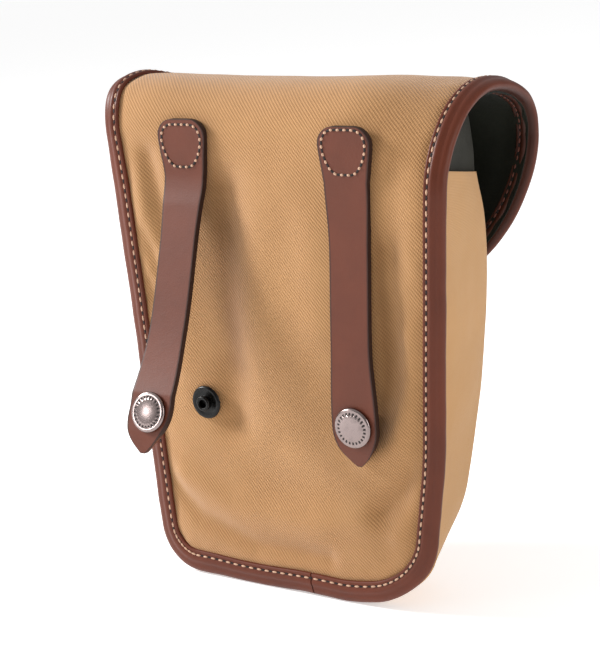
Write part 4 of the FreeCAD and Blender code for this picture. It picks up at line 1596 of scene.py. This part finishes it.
CAMERA_PLACE = (0.371813, -0.547741, 0.268233)
CAMERA_YAW, CAMERA_PITCH, CAMERA_ROLL = (math.radians(angle) for angle in (34.91, 14.31, -4.08))
CAMERA_LENS = 93.68
SENSOR_WIDTH = 36


# place and width in metres, and power in watts
SOFTBOXES = (
    ("key_light", (-1.05, -0.42, 0.75), 0.32, 21.0),
    ("side_fill", (1.2, -0.1, 0.45), 0.7, 6.0),
    ("cap_glint", (-0.98, -1.22, 0.42), 0.26, 2.2),
)
LIT_POINT = (0, 0, 0.1)
FLOOR_SIZE = 12


def add_softbox(name, place, width, power):
    """A square soft light aimed at the pouch."""
    deselect()
    bpy.ops.object.light_add(type="AREA", location=place)
    light = bpy.context.object
    light.name = name
    light.data.size = width
    light.data.energy = power
    light.rotation_euler = (Vector(LIT_POINT) - Vector(place)).to_track_quat("-Z", "Y").to_euler()


SKY_BRIGHT_SIDE = (-0.75, 0.1, 0.65)
SKY_DIM, SKY_BRIGHT = 0.17, 0.78


def light_sky(tree):
    """A pale room that is brightest at the upper left."""
    sky = Wiring(tree)
    direction = sky.node("ShaderNodeTexCoord", None, None, "Generated")
    toward = sky.node("ShaderNodeVectorMath", {"operation": "DOT_PRODUCT"},
                      {0: direction, 1: Vector(SKY_BRIGHT_SIDE).normalized()}, "Value")
    strength = sky.node("ShaderNodeMapRange", None, {
        "Value": toward, "From Min": -0.6, "From Max": 1.0, "To Min": SKY_DIM, "To Max": SKY_BRIGHT})
    background = tree.nodes["Background"]
    sky.feed(background.inputs["Strength"], strength)
    sky.feed(background.inputs["Color"], (1, 1, 1))


def aim_camera():
    """Camera a little above the pouch, looking at its back and right side."""
    flat = math.cos(CAMERA_PITCH)
    back = Vector((math.sin(CAMERA_YAW) * flat, -math.cos(CAMERA_YAW) * flat, math.sin(CAMERA_PITCH)))
    level = Vector((math.cos(CAMERA_YAW), math.sin(CAMERA_YAW), 0))
    upward = back.cross(level)
    right = math.cos(CAMERA_ROLL) * level + math.sin(CAMERA_ROLL) * upward
    up = math.cos(CAMERA_ROLL) * upward - math.sin(CAMERA_ROLL) * level
    deselect()
    bpy.ops.object.camera_add()
    camera = bpy.context.object
    camera.matrix_world = Matrix.Translation(CAMERA_PLACE) @ Matrix((right, up, back)).transposed().to_4x4()
    camera.data.sensor_width = SENSOR_WIDTH
    camera.data.lens = CAMERA_LENS
    camera.data.clip_start, camera.data.clip_end = 0.01, 100
    bpy.context.scene.camera = camera


class POUCH_OT_stage(bpy.types.Operator):
    """Pale floor, soft studio lights and the camera"""
    bl_idname = "pouch.stage"
    bl_label = "Floor, lights and camera"

    def execute(self, context):
        deselect()
        bpy.ops.mesh.primitive_plane_add(size=FLOOR_SIZE)
        floor = bpy.context.object
        floor.name = "studio_floor"
        floor.data.materials.append(studio_floor())
        world = bpy.data.worlds.new("studio")
        world.use_nodes = True
        light_sky(world.node_tree)
        context.scene.world = world
        context.scene.view_settings.view_transform = "Standard"
        for softbox in SOFTBOXES:
            add_softbox(*softbox)
        aim_camera()
        return {"FINISHED"}


# ---------------------------------------------------------------- panel and start

OPERATORS = (POUCH_OT_panel, POUCH_OT_binding, POUCH_OT_body, POUCH_OT_ears, POUCH_OT_belt_straps,
             POUCH_OT_closure, POUCH_OT_press_studs, POUCH_OT_stage)


class POUCH_PT_sidebar(bpy.types.Panel):
    """Sizes, colours and building steps of the pouch"""
    bl_idname = "POUCH_PT_sidebar"
    bl_label = "Binocular Pouch"
    bl_space_type = "VIEW_3D"
    bl_region_type = "UI"
    bl_category = "Pouch"

    def draw(self, context):
        for operator in OPERATORS:
            self.layout.operator(operator.bl_idname)
        for group in (context.scene.pouch_sizes, context.scene.pouch_colours):
            box = self.layout.box()
            for name in group.__annotations__:
                box.prop(group, name)


CLASSES = (PouchSizes, PouchColours, *OPERATORS, POUCH_PT_sidebar)


def register():
    """Add the pouch's settings, operators and sidebar."""
    for item in CLASSES:
        bpy.utils.register_class(item)
    bpy.types.Scene.pouch_sizes = bpy.props.PointerProperty(type=PouchSizes)
    bpy.types.Scene.pouch_colours = bpy.props.PointerProperty(type=PouchColours)


def unregister():
    """Take them away again."""
    del bpy.types.Scene.pouch_colours
    del bpy.types.Scene.pouch_sizes
    for item in reversed(CLASSES):
        bpy.utils.unregister_class(item)


def main():
    """Build the pouch."""
    register()
    bpy.ops.pouch.panel()
    bpy.ops.pouch.binding()
    bpy.ops.pouch.body()
    bpy.ops.pouch.ears()
    bpy.ops.pouch.belt_straps()
    bpy.ops.pouch.closure()
    bpy.ops.pouch.press_studs()
    bpy.ops.pouch.stage()


if __name__ == "__main__":
    main()
